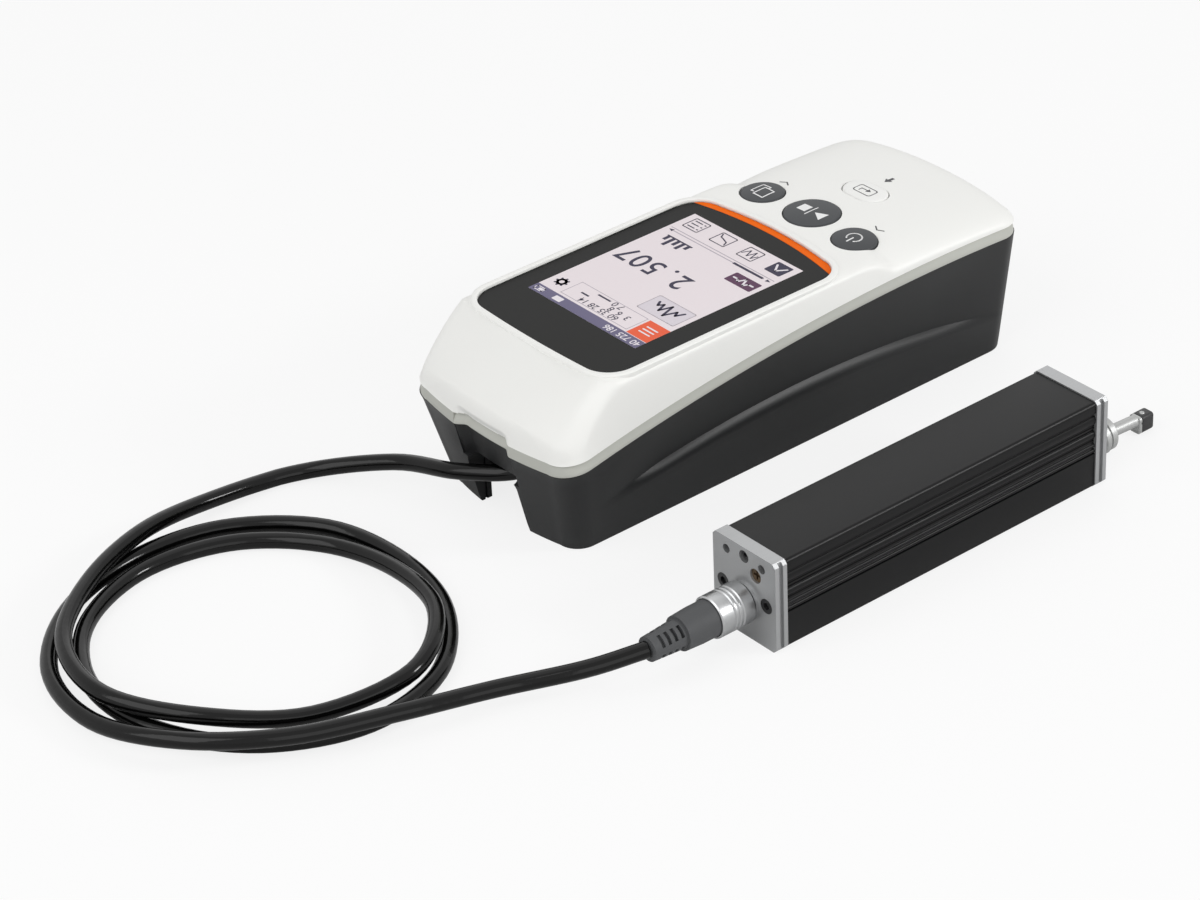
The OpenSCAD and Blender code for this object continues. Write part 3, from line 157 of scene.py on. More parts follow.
class GrainGroups:
    """The shared node groups, each built once. They give a height and a tone, both from 0 to 1."""

    def __init__(self) -> None:
        self._made: dict[Grain, bpy.types.NodeTree] = {}

    def get(self, kind: Grain) -> bpy.types.NodeTree:
        """Returns the group of one kind of surface, and builds it at its first use."""
        if kind not in self._made:
            self._made[kind] = self._build(kind)
        return self._made[kind]

    def _build(self, kind: Grain) -> bpy.types.NodeTree:
        """Builds one group.

        Args:
            kind: the kind of surface.

        Returns:
            A node tree with the sockets Vector, Scale, Height and Tone.
        """
        tree = bpy.data.node_groups.new(kind.value, "ShaderNodeTree")
        face = tree.interface
        face.new_socket("Vector", in_out="INPUT", socket_type="NodeSocketVector")
        face.new_socket("Scale", in_out="INPUT", socket_type="NodeSocketFloat")
        face.new_socket("Height", in_out="OUTPUT", socket_type="NodeSocketFloat")
        face.new_socket("Tone", in_out="OUTPUT", socket_type="NodeSocketFloat")
        new, link = tree.nodes.new, tree.links.new
        inlet, outlet = new("NodeGroupInput"), new("NodeGroupOutput")
        mapping = new("ShaderNodeMapping")
        mapping.inputs["Scale"].default_value = {
            Grain.MOULDED: (1, 1, 1), Grain.BRUSHED: (0.04, 1, 1), Grain.SMOOTH: (1, 1, 1)}[kind]
        link(inlet.outputs["Vector"], mapping.inputs["Vector"])
        fine, broad = new("ShaderNodeTexNoise"), new("ShaderNodeTexNoise")
        fine.inputs["Detail"].default_value = 0 if kind is Grain.SMOOTH else 3
        fine.inputs["Roughness"].default_value = 0.6
        broad.inputs["Scale"].default_value = 40
        broad.inputs["Detail"].default_value = 2
        link(mapping.outputs["Vector"], fine.inputs["Vector"])
        link(inlet.outputs["Scale"], fine.inputs["Scale"])
        link(inlet.outputs["Vector"], broad.inputs["Vector"])
        blend = new("ShaderNodeMix")
        blend.inputs["Factor"].default_value = 0.35
        link(fine.outputs["Fac"], blend.inputs["A"])
        link(broad.outputs["Fac"], blend.inputs["B"])
        link(fine.outputs["Fac"], outlet.inputs["Height"])
        link(blend.outputs["Result"], outlet.inputs["Tone"])
        return tree


class Materials:
    """Builds one material per finish and hands it out."""

    def __init__(self) -> None:
        self._groups = GrainGroups()
        self._made: dict[str, bpy.types.Material] = {}

    def get(self, finish: Finish) -> bpy.types.Material:
        """Returns the material of a finish."""
        if finish.name not in self._made:
            self._made[finish.name] = self._build(finish)
            LOG.info("material %s", finish.name)
        return self._made[finish.name]

    def _build(self, finish: Finish) -> bpy.types.Material:
        """Builds a material.

        Args:
            finish: the finish to build.

        Returns:
            A procedural material.
        """
        mat = bpy.data.materials.new(finish.name)
        mat.use_nodes = True
        tree = mat.node_tree
        new, link = tree.nodes.new, tree.links.new
        shader = tree.nodes["Principled BSDF"]
        shader.inputs["Metallic"].default_value = finish.metal
        shader.inputs["Specular IOR Level"].default_value = finish.shine
        coord, group = new("ShaderNodeTexCoord"), new("ShaderNodeGroup")
        group.node_tree = self._groups.get(finish.grain)
        group.inputs["Scale"].default_value = 1 / finish.size
        link(coord.outputs["Object"], group.inputs["Vector"])
        tint = new("ShaderNodeMix")
        tint.data_type = "RGBA"
        tint.inputs["A"].default_value = (*(c * (1 - finish.tone) for c in finish.color), 1)
        tint.inputs["B"].default_value = (*(min(1, c * (1 + finish.tone)) for c in finish.color), 1)
        link(group.outputs["Tone"], tint.inputs["Factor"])
        link(tint.outputs["Result"], shader.inputs["Base Color"])
        span = new("ShaderNodeMapRange")
        span.inputs["To Min"].default_value = finish.rough * 0.9
        span.inputs["To Max"].default_value = finish.rough * 1.1
        link(group.outputs["Tone"], span.inputs["Value"])
        link(span.outputs["Result"], shader.inputs["Roughness"])
        if finish.bump > 0:
            bump = new("ShaderNodeBump")
            bump.inputs["Distance"].default_value = finish.bump
            link(group.outputs["Height"], bump.inputs["Height"])
            link(bump.outputs["Normal"], shader.inputs["Normal"])
        if finish.glow > 0:
            shader.inputs["Emission Strength"].default_value = finish.glow
            link(tint.outputs["Result"], shader.inputs["Emission Color"])
        return mat


MATERIALS = Materials()


class Piece:
    """One mesh object of the scene. Coordinates are given in millimetres in the part's frame."""

    def __init__(self, name: str) -> None:
        self.name = name
        self.verts: list[Place] = []
        self.faces: list[Sequence[int]] = []

    def add(self, verts: Iterable[Sequence[float]], faces: Iterable[Sequence[int]]) -> None:
        """Adds points and the faces between them."""
        base = len(self.verts)
        self.verts.extend(tuple(float(c) for c in v) for v in verts)
        self.faces.extend([base + i for i in f] for f in faces)

    def loft(self, rings: Sequence[Sequence[Sequence[float]]], caps: bool = True) -> None:
        """Adds a skin through rings of equal length, closed round each ring.

        Args:
            rings: the rings, each a list of points.
            caps: whether the first and the last ring are closed by a face.
        """
        n = len(rings[0])
        verts = [p for ring in rings for p in ring]
        faces: list[Sequence[int]] = []
        for k in range(len(rings) - 1):
            for i in range(n):
                j = (i + 1) % n
                faces.append((k * n + i, k * n + j, (k + 1) * n + j, (k + 1) * n + i))
        if caps:
            faces.append(list(range(n))[::-1])
            faces.append([(len(rings) - 1) * n + i for i in range(n)])
        self.add(verts, faces)

    def lathe(self, profile: Sequence[Point], at: Sequence[float], axis: str = "Z", sides: int = 72) -> None:
        """Adds a turned body.

        Args:
            profile: (radius, height) pairs along the axis.
            at: the point that the heights start from.
            axis: "Z" up or "X" along the drive unit.
            sides: sides round the body.
        """
        rings = []
        for r, h in profile:
            ring = []
            for i in range(sides):
                a = 2 * math.pi * i / sides
                c, s = r * math.cos(a), r * math.sin(a)
                ring.append((at[0] + c, at[1] + s, at[2] + h) if axis == "Z"
                            else (at[0] + h, at[1] + c, at[2] + s))
            rings.append(ring)
        self.loft(rings)

    def prism(self, shape: Shape, low: float, high: float, plane: str = "XY") -> None:
        """Adds a straight prism over a plan shape.

        Args:
            shape: the outline's points.
            low: where the prism starts along its axis.
            high: where it ends.
            plane: "XY" for a prism along Z, or "YZ" for one along X.
        """
        def place(p: Point, h: float) -> Place:
            """One point of the prism."""
            return (p[0], p[1], h) if plane == "XY" else (h, p[0], p[1])
        self.loft([[place(p, low) for p in shape], [place(p, high) for p in shape]])

    def build(self, finish: Optional[Finish], body: Optional[str] = None, replaces: Sequence[str] = (),
              smooth: float = 35, bevel: float = 0.0) -> bpy.types.Object:
        """Makes the object.

        Args:
            finish: its finish, or None for a cutter.
            body: the body it rides on.
            replaces: CAD nodes that it stands for.
            smooth: edges sharper than this many degrees stay sharp.
            bevel: width of a fine round on its edges, in millimetres.

        Returns:
            The new object.
        """
        mesh = bpy.data.meshes.new(self.name)
        mesh.from_pydata([Vector(v) * MM for v in self.verts], [], self.faces)
        work = bmesh.new()
        work.from_mesh(mesh)
        bmesh.ops.remove_doubles(work, verts=work.verts, dist=1e-7)
        bmesh.ops.recalc_face_normals(work, faces=work.faces)
        work.to_mesh(mesh)
        work.free()
        obj = bpy.data.objects.new(self.name, mesh)
        bpy.context.scene.collection.objects.link(obj)
        if finish is not None:
            dress(obj, finish, body, replaces, smooth, bevel)
        return obj


def dress(obj: bpy.types.Object, finish: Finish, body: Optional[str], replaces: Sequence[str] = (),
          smooth: float = 35, bevel: float = 0.0) -> bpy.types.Object:
    """Shades an object smooth, gives it its finish and seats it on its body."""
    mesh = obj.data
    for poly in mesh.polygons:
        poly.use_smooth = True
    mesh.set_sharp_from_angle(angle=math.radians(smooth))
    if bevel > 0:
        mod = obj.modifiers.new("round", "BEVEL")
        mod.width = bevel * MM
        mod.segments = 3
        mod.limit_method = "ANGLE"
        mod.angle_limit = math.radians(35)
        mod.harden_normals = True
    if not mesh.materials:
        mesh.materials.append(MATERIALS.get(finish))
    if body is not None:
        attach(obj, body)
    if replaces:
        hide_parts(*replaces)
    LOG.info("piece %s: %d faces", obj.name, len(mesh.polygons))
    return obj


def carve(obj: bpy.types.Object, cutters: Sequence[bpy.types.Object], mode: str = "DIFFERENCE") -> None:
    """Cuts the cutters out of an object and removes them.

    Args:
        obj: the object that is cut; its mesh is replaced.
        cutters: closed objects.
        mode: Blender's name of the operation.
    """
    for cutter in cutters:
        mod = obj.modifiers.new("cut", "BOOLEAN")
        mod.operation = mode
        mod.solver = "EXACT"
        mod.object = cutter
        graph = bpy.context.evaluated_depsgraph_get()
        graph.update()
        mesh = bpy.data.meshes.new_from_object(obj.evaluated_get(graph))
        obj.modifiers.remove(mod)
        obj.data = mesh
        bpy.data.objects.remove(cutter)
    obj.data.materials.clear()


# Plan shapes, in millimetres
def rounded(w: float, h: float, r: float, steps: int = 8) -> Shape:
    """A rectangle with round corners about the origin."""
    out: Shape = []
    for cx, cy, start in ((1, 1, 0), (-1, 1, 90), (-1, -1, 180), (1, -1, 270)):
        for i in range(steps + 1):
            a = math.radians(start + 90 * i / steps)
            out.append((cx * (w / 2 - r) + r * math.cos(a), cy * (h / 2 - r) + r * math.sin(a)))
    return out


def disc(r: float, steps: int = 32) -> Shape:
    """A circle about the origin."""
    return [(r * math.cos(2 * math.pi * i / steps), r * math.sin(2 * math.pi * i / steps))
            for i in range(steps)]


def moved(shape: Shape, dx: float, dy: float, turn: float = 0.0) -> Shape:
    """A shape turned by some degrees and then moved."""
    c, s = math.cos(math.radians(turn)), math.sin(math.radians(turn))
    return [(dx + x * c - y * s, dy + x * s + y * c) for x, y in shape]


def rect(x: float, y: float, w: float, h: float) -> Shape:
    """A rectangle about a point."""
    return [(x - w / 2, y - h / 2), (x + w / 2, y - h / 2), (x + w / 2, y + h / 2), (x - w / 2, y + h / 2)]


def rounded_at(x: float, y: float, w: float, h: float, r: float) -> Shape:
    """A rectangle with round corners about a point."""
    return moved(rounded(w, h, r, 5), x, y)


def mix(a: float, b: float, t: float) -> float:
    """Linear blend."""
    return a + (b - a) * t


def clamp(v: float) -> float:
    """Limits a value to 0 to 1."""
    return max(0.0, min(1.0, v))


def ease(v: float) -> float:
    """Smooth step from 0 to 1."""
    c = clamp(v)
    return c * c * (3 - 2 * c)


def full_outline(half: list[Point]) -> Shape:
    """A whole outline from its near half."""
    return half + [(x, -y) for x, y in half[-2:0:-1]]


@dataclass(frozen=True)
class DisplayForm:
    """Sizes of the display unit in millimetres, about its own centre line."""

    disp_y: float = 30.85
    length: float = 165.0
    half_w: float = 32.9
    foot_half: float = 26.75
    foot_in: float = 6.2
    foot_in_keys: float = 0.2
    corner_r: float = 8.0
    case_r: float = 6.3
    key_proud: float = 0.25
    swell: float = 2.1
    part_curve: tuple[float, ...] = (-0.51, 0.13, -5.13, 5.88, 37.58)
    lip_h: float = 3.4
    lip_gap: float = 0.35
    plateau_z: float = 48.9
    deck_fall: float = 3.2
    slope_l: float = 15.5
    roll_r: float = 9.0
    win_x0: float = -64.3
    win_end: float = 19.2
    win_y: float = -0.5
    win_w: float = 57.4
    win_r: float = 8.2
    win_bulge: float = 1.8
    accent_w: float = 2.4
    rim_w: float = 1.9
    rim_h: float = 0.6
    grip_depth: float = 1.3
    lean: float = 0.045
    lean_far: float = 0.085
    lean_past: float = 26.0
    lean_l: float = 24.0
    end_gap: float = 0.05
    grip_top: float = 20.9
    grip_bow: float = 0.0016
    grip_mid: float = 4.0
    notch_half: float = 11.5
    notch_d: float = 1.9
    pocket_d: float = 1.44
    glass_t: float = 1.2
    key_gap: float = 0.3
    key_foot_z: float = 43.3
    key_flange_z: float = 44.2

    @property
    def xr(self) -> float:
        """Half of the length."""
        return self.length / 2

    def part_z(self, x: np.ndarray) -> np.ndarray:
        """Height of the parting surface."""
        return np.polyval(self.part_curve, x / self.xr)

    def crown_z(self, x: np.ndarray) -> np.ndarray:
        """Height of the cover's centre line."""
        t = np.maximum(0, x - self.win_end) / (self.xr - self.win_end)
        return self.plateau_z - self.deck_fall * t * t

    def power(self, x: float) -> float:
        """Squareness of the cover's cross-section at x."""
        if x < self.win_x0 + self.rim_w:
            return mix(3.2, 20, ease(((x + self.xr) / (self.win_x0 + self.xr)) ** 1.8))
        return mix(20, 2.8, ease((x - self.win_end) / (self.length / 12)))

    def end_in(self, y: float, w: float, r: float) -> float:
        """How far the ends stand in at y."""
        if abs(y) < w - r:
            return self.swell * (y / (w - r)) ** 2
        return self.swell + r - math.sqrt(max(0, r * r - (abs(y) - w + r) ** 2))

    def cover_z(self, x: float, y: float, inset: float, s: float) -> float:
        """Height of the cover's skin at share s of its arc."""
        w, r = self.half_w - inset, self.corner_r - inset
        dl = x + self.xr - inset - self.end_in(y, w, r)
        dr = self.xr - inset - self.end_in(y, w, r) - x
        low = float(self.part_z(np.array(x))) + self.lip_h - inset / 2
        e = clamp(dl / self.slope_l)
        slope = 0.28 * (1 - (1 - clamp(e / 0.1)) ** 2) + 0.72 * e
        roll = (1 - (1 - clamp(dr / self.roll_r)) ** 2.4) ** (1 / 2.4)
        return low + (float(self.crown_z(np.array(x))) - inset - low) * s * slope * roll

    def deck_z(self, x: float, y: float) -> float:
        """Height of the cover's skin at a point of its plan."""
        n = self.power(x)
        return self.cover_z(x, y, 0, (1 - min(1, abs(y) / self.half_w) ** n) ** (1 / n))

    def half_outline(self, x0: float, x1: float, w: float, r: float, swells: Point, sides: int,
                     arcs: int, ends: int) -> list[Point]:
        """One half of a plan outline with round corners and swollen ends, near side first."""
        we, xa, xb = w - r, x0 + swells[0], x1 - swells[1]
        out = [(x0 + swells[0] * (i / ends) ** 2, -we * i / ends) for i in range(ends + 1)]
        for i in range(1, arcs + 1):
            a = math.pi / 2 * i / arcs
            out.append((xa + r - r * math.cos(a), -we - r * math.sin(a)))
        out += [(mix(xa + r, xb - r, i / sides), -w) for i in range(1, sides)]
        for i in range(arcs):
            a = math.pi / 2 * (1 - i / arcs)
            out.append((xb - r + r * math.cos(a), -we - r * math.sin(a)))
        for i in range(ends + 1):
            s = 1 - i / ends
            out.append((x1 - swells[1] * s * s, -we * s))
        return out

    def window(self, grow: float) -> Shape:
        """Outline of the window pocket, grown by some millimetres."""
        half = self.half_outline(self.win_x0 - grow, self.win_end + grow, self.win_w / 2 + grow,
                                 self.win_r + grow, (0.6, self.win_bulge), 24, 14, 12)
        return [(x, y + self.win_y) for x, y in full_outline(half)]

    def accent_zone(self, gap: float) -> Shape:
        """The part of the pocket beside the keys, bowed as the pocket's end is."""
        reach = self.win_w / 2 - self.win_r
        line = [(self.win_end - self.accent_w + gap - self.win_bulge * (y / reach) ** 2, y)
                for y in np.linspace(-self.win_w / 2 - 0.5, self.win_w / 2 + 0.5, 41)]
        return line + [(self.win_end + 2, self.win_w / 2 + 0.5), (self.win_end + 2, -self.win_w / 2 - 0.5)]

    def key_slope(self, x: float, y: float, d: float) -> float:
        """How much a round key's top falls towards +Y, as the deck does under it."""
        if y == 0:
            return 0.0
        a = abs(y)
        return math.copysign((self.deck_z(x, a - d / 4) - self.deck_z(x, a + d / 4)) / (d / 2), y)


def notch_line(form: "DisplayForm", depth: float, back: float = 0.0) -> Shape:
    """Outline of the notch over the arch, as (distance in, place across), with soft flanks.

    Args:
        form: the display unit's sizes.
        depth: how deep it is in its middle.
        back: how far the surface that it is cut from stands in.
    """
    line = []
    for y in np.linspace(-form.notch_half, form.notch_half, 47):
        flank = 1 - ease((abs(y) - 7.7) / 3.9)
        line.append((back + form.end_in(y, form.half_w, form.corner_r) + depth * flank - 0.03, y))
    return [*line, (-3.0, form.notch_half), (-3.0, -form.notch_half)]


@dataclass(frozen=True)
class Cable:
    """The cable, from the plug in the docking bay to the boot behind the drive unit."""

    diameter: float = 4.5
    start: Place = (12.1, 30.85, 17.6)
    end: Place = (-97.4, -52.25, 10.6)
    bends: tuple[Place, ...] = (
        (-6, 31, 18), (-32, 29, 18), (-58, 25.5, 16), (-73, 27.5, 14.5), (-82.5, 41, 12.2), (-88, 62, 7.8),
        (-104, 82, 2.4), (-130, 85.7, 3.5), (-155, 81, 6.8), (-179, 70, 7.3), (-198, 52, 7.2),
        (-203, 27, 7.2), (-190, 4, 6.4), (-167, -9, 2.4), (-141, -15, 5.8), (-122, 0, 7.2),
        (-116, 25, 5), (-120.5, 50, 2.4), (-138, 67, 2.4), (-163, 71.5, 2.4), (-187, 60, 2.4),
        (-200, 37, 2.4), (-198, 11, 2.4), (-183, -10.5, 2.4), (-159, -21.5, 2.4), (-134, -16, 2.4),
        (-116, 4, 2.4), (-110, 29, 2.4), (-115, 55.5, 2.4), (-135, 74, 2.4), (-161, 78, 2.4),
        (-186, 69.5, 2.4), (-204, 50, 2.4), (-208.6, 24, 3.5), (-200, -1, 6.9), (-180, -18, 7.2),
        (-155, -27.5, 6.8), (-131, -34, 5.5), (-112, -46, 8.5))

    def line(self, steps: int = 8) -> np.ndarray:
        """Points of the smooth centre line.

        Args:
            steps: points between two knots.

        Returns:
            An array of points in millimetres.
        """
        k = np.array([self.start, *self.bends, self.end], float)
        k = np.vstack([2 * k[0] - k[1], k, 2 * k[-1] - k[-2]])
        out = []
        for i in range(1, len(k) - 2):
            p0, p1, p2, p3 = k[i - 1:i + 3]
            for t in np.linspace(0, 1, steps, endpoint=False):
                out.append(0.5 * (2 * p1 + (p2 - p0) * t + (2 * p0 - 5 * p1 + 4 * p2 - p3) * t ** 2
                                  + (3 * p1 - p0 - 3 * p2 + p3) * t ** 3))
        line = np.array([*out, k[-2]])
        line[:, 2] = np.maximum(line[:, 2], self.diameter / 2)
        return line

    def build(self) -> bpy.types.Object:
        line = self.line() * MM
        curve = bpy.data.curves.new("cable_run", "CURVE")
        curve.dimensions = "3D"
        curve.bevel_depth = self.diameter / 2 * MM
        curve.bevel_resolution = 6
        spline = curve.splines.new("POLY")
        spline.points.add(len(line) - 1)
        for point, place in zip(spline.points, line):
            point.co = (*place, 1)
        spline.use_smooth = True
        obj = bpy.data.objects.new("cable_run", curve)
        bpy.context.scene.collection.objects.link(obj)
        curve.materials.append(MATERIALS.get(Finishes.CABLE))
        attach(obj, "base")
        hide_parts("cable")
        return obj


class Sheet:
    """A thin layer of print: flat shapes merged into one piece.

    Shapes are given as (right, up) about an origin. Up points to the arch end and right to the far
    side, as the display reads.
    """

    def __init__(self, name: str, at: Point, height: HeightMap, thick: float = 0.02) -> None:
        self.piece = Piece(name)
        self.at = at
        self.height = height
        self.thick = thick

    def _place(self, p: Point, lift: float) -> Place:
        """One point on the layer."""
        x, y = self.at[0] - p[1], self.at[1] + p[0]
        z = self.height(x, y) if callable(self.height) else self.height
        return (x, y, z + lift)

    def shape(self, outline: Shape) -> "Sheet":
        """Adds a filled outline."""
        if callable(self.height):
            self.piece.add([(*p, 0) for p in outline], [range(len(outline))])
            return self
        self.piece.loft([[self._place(p, 0) for p in outline],
                         [self._place(p, self.thick) for p in outline]])
        return self

    def stroke(self, points: Sequence[Point], width: float) -> "Sheet":
        """Adds a line of some width with round ends."""
        for (x0, y0), (x1, y1) in zip(points, points[1:]):
            length = math.hypot(x1 - x0, y1 - y0)
            turn = math.degrees(math.atan2(y1 - y0, x1 - x0))
            bar = rounded(length + width, width, width * 0.49, 4)
            self.shape(moved(bar, (x0 + x1) / 2, (y0 + y1) / 2, turn))
        return self

    def ring(self, outline: Shape, width: float) -> "Sheet":
        """Adds a closed line of some width along an outline."""
        return self.stroke([*outline, outline[0]], width)

    def text(self, words: str, at: Point, size: float, weight: float = 0.0) -> "Sheet":
        """Adds digits or signs in the plain built-in face.

        Args:
            words: what to write.
            at: the middle of the line.
            size: its height in millimetres.
            weight: share of the size by which the strokes grow.
        """
        curve = bpy.data.curves.new("digits", "FONT")
        curve.body = words
        curve.size = size
        curve.offset = weight * size
        curve.align_x = "CENTER"
        curve.align_y = "CENTER"
        obj = bpy.data.objects.new("digits", curve)
        mesh = bpy.data.meshes.new_from_object(obj)
        flat = [(v.co.x + at[0], v.co.y + at[1]) for v in mesh.vertices]
        self.piece.add([self._place(p, self.thick) for p in flat],
                       [list(p.vertices) for p in mesh.polygons])
        bpy.data.objects.remove(obj)
        bpy.data.meshes.remove(mesh)
        return self

    def build(self, finish: Finish, body: str = "base") -> bpy.types.Object:
        """Makes the layer. On a curved ground it is cut finely and laid on the ground."""
        if callable(self.height):
            self._lay()
        return self.piece.build(finish, body)

    def _lay(self) -> None:
        """Cuts the flat shapes finely and gives each point its height."""
        mesh = bpy.data.meshes.new("flat")
        mesh.from_pydata(self.piece.verts, [], [list(f) for f in self.piece.faces])
        work = bmesh.new()
        work.from_mesh(mesh)
        bmesh.ops.triangulate(work, faces=work.faces)
        for _ in range(3):
            long = [e for e in work.edges if e.calc_length() > 0.5]
            bmesh.ops.subdivide_edges(work, edges=long, cuts=1, use_grid_fill=True)
            bmesh.ops.triangulate(work, faces=work.faces)
        work.verts.ensure_lookup_table()
        self.piece.verts = [self._place((v.co.x, v.co.y), self.thick) for v in work.verts]
        self.piece.faces = [[v.index for v in f.verts] for f in work.faces]
        work.free()
        bpy.data.meshes.remove(mesh)


# The lip as (share of its height, inset), round keys as centre and diameter, oval key as x and sizes
LIP: Shape = [(0.0, 0.12), (0.03, 0.02), (0.1, 0.0), (0.2, 0.05), (0.38, 0.26), (0.55, 0.56), (0.7, 0.84),
              (0.82, 1.0), (0.92, 0.98), (0.985, 0.75), (1.0, 0.3)]
KEYS: dict[Point, float] = {(30.9, 18.1): 12.3, (32.5, 0.0): 15.6, (31.0, -18.3): 12.3}
ENTER = (52.0, 9.2, 14.0)


class DisplayUnit:
    """The display unit: case, cover, window with its picture, keys and prints."""

    def __init__(self, form: DisplayForm) -> None:
        self.form = form

    def build(self) -> None:
        """Makes every piece of the display unit."""
        self.cover()
        self.case()
        self.window()
        self.picture()
        self.keys()
        self.prints()

    def shifted(self, points: Iterable[Sequence[float]]) -> list[Place]:
        """Moves points from the unit's centre line to the part's frame."""
        return [(p[0], p[1] + self.form.disp_y, p[2]) for p in points]

    def cover(self) -> None:
        """The white cover, with its lip, window rim and key holes."""
        f = self.form
        half = f.half_outline(-f.xr, f.xr, f.half_w, f.corner_r, (f.swell, f.swell), 130, 14, 14)
        rings = []
        for x, y in half[1:-1]:
            rings.append(self.shifted(self.section(x, -y)))
        skin = Piece("cover_skin")
        skin.loft(rings)
        obj = skin.build(None)
        rim = Piece("rim")
        w = f.rim_w
        profile = ((w, -1.0), (w, 0.25), (w - 0.12, 0.45), (w - 0.4, f.rim_h), (0.45, f.rim_h),
                   (0.12, f.rim_h - 0.12), (0, f.rim_h - 0.4), (0, -1.0))
        rings = [self.shifted([(x, y, f.plateau_z + h) for x, y in f.window(g)]) for g, h in profile]
        rim.loft([*rings, rings[0]], caps=False)
        pocket = Piece("pocket")
        pocket.prism([(x, y + f.disp_y) for x, y in f.window(0.0)], f.plateau_z - f.pocket_d, f.plateau_z + 3)
        holes = []
        for (x, y), d in KEYS.items():
            hole = Piece("hole")
            hole.lathe([(d / 2 + f.key_gap, 43), (d / 2 + f.key_gap, 60)], (x, y + f.disp_y, 0))
            holes.append(hole.build(None))
        oval = Piece("oval")
        oval.prism(moved(rounded(ENTER[1] + 0.6, ENTER[2] + 0.6, ENTER[1] / 2 + 0.29, 12),
                         ENTER[0], f.disp_y), 43, 60)
        inner = Piece("inner")
        inner.loft([self.shifted(self.section(x, -y, 2.2))
                    for x, y in f.half_outline(-f.xr + 5.0, f.xr - 2.2, f.half_w - 2.2, f.corner_r - 2.2,
                                               (f.swell, f.swell), 30, 4, 4)[1:-1]])
        notch = Piece("notch")
        notch.loft(self.notch_rings())
        carve(obj, [inner.build(None), pocket.build(None), *holes, oval.build(None), notch.build(None)])
        rim_obj = rim.build(None)
        with bpy.context.temp_override(active_object=obj, selected_editable_objects=[obj, rim_obj]):
            bpy.ops.object.join()
        obj.name = "cover_skin"
        obj.data.materials.clear()
        dress(obj, Finishes.COVER, "base", ("top_cover",), smooth=30)
        self.paint_lip_shade(obj)

    def notch_rings(self) -> list[list[Place]]:
        """Outlines of the notch in the cover, from under the lip to where it fades on the slope."""
        f = self.form
        low = float(f.part_z(np.array(-f.xr)))
        heights, insets = [h for h, _ in LIP], [d for _, d in LIP]
        rings = []
        for z in (low - 4, low - 0.01, *(low + f.lip_h * h for h in heights[1:]),
                  *np.linspace(low + f.lip_h + 0.12, 34, 27)):
            back = float(np.interp((z - low) / f.lip_h, heights, insets))
            if z > low + f.lip_h:
                steps = np.linspace(0.0, 4.0, 200)
                tops = [f.cover_z(-f.xr + d, 0, 0, 1) for d in steps]
                back = float(np.interp(z, tops, steps))
            depth = f.notch_d * (1 - ease((z - 29.3) / 3.6))
            rings.append([(x - f.xr, y + f.disp_y, z) for x, y in notch_line(f, depth, back)])
        return rings

    def section(self, x: float, w: float, inset: float = 0.0) -> list[Place]:
        """Cross-section of the cover at x, from the near foot over the top to the far foot.

        Args:
            x: place along the unit.
            w: half width there.
            inset: distance inside the outer skin.
        """
        f = self.form
        n = f.power(x)
        low = float(f.part_z(np.array(x)))
        steps = 56 if inset == 0 else 16
        lip = LIP if inset == 0 else [(-0.6, 0.0)]
        scale = min(1.0, w / 6)
        arc = []
        for k in range(steps + 1):
            a = math.pi * k / steps
            c, s = abs(math.cos(a)) ** (2 / n), abs(math.sin(a)) ** (2 / n)
            lean = f.lean if math.cos(a) > 0 else f.lean_far
            lean = lean * s * ease((f.win_end + f.lean_past - x) / f.lean_l)
            y = -math.copysign(1, math.cos(a)) * w * c * (1 - lean)
            arc.append((x, y, f.cover_z(x, y, inset, s)))
        near = [(x, -(w - d * scale), low + h * f.lip_h) for h, d in lip]
        far = [(x, w - d * scale, low + h * f.lip_h) for h, d in reversed(lip)]
        return near + arc + far

    def paint_lip_shade(self, obj: bpy.types.Object) -> None:
        """Gives the lip under the cover's edge a grey copy of the cover's white: painted shade for the shadow
        under the edge.
        """
        f = self.form
        obj.data.materials.append(MATERIALS.get(Finishes.LIP))
        for poly in obj.data.polygons:
            c = poly.center / MM
            # Painted shade: lip faces below the cover's edge take the grey copy of the cover's white.
            if c.z < float(f.part_z(np.array(c.x))) + f.lip_h * 0.985 and abs(poly.normal.z) < 0.9:
                poly.material_index = 1

    def grip_z(self, x: float) -> float:
        """Height of the grip scoop's lower edge."""
        f = self.form
        return f.grip_top - f.grip_bow * (x - f.grip_mid) ** 2

    def case_ring(self, level: float, scoop: float, lo: Shape, hi: Shape) -> list[Place]:
        """One ring of the case: level 0 is the foot, 1 the grip's lower edge, 2 the parting surface."""
        f = self.form
        out = []
        for (xa, ya), (xb, yb) in zip(lo, hi):
            zg, zp = self.grip_z(xa), float(f.part_z(np.array(mix(xa, xb, 0.5))))
            z = mix(0, zg, level) if level <= 1 else mix(zg + 1.1, zp, level - 1)
            x, y = mix(xa, xb, z / zp), mix(ya, yb, z / zp)
            side = ease((abs(y) / f.half_w - 0.7) / 0.16)
            u = x / f.xr
            fade = ease((u + 0.82) / 0.3) * ease((0.97 - u) / 0.4)
            y -= math.copysign(1, y) * side * fade * scoop * f.grip_depth
            out.append((x, y, float(f.part_z(np.array(x))) if level == 2 else z))
        return out

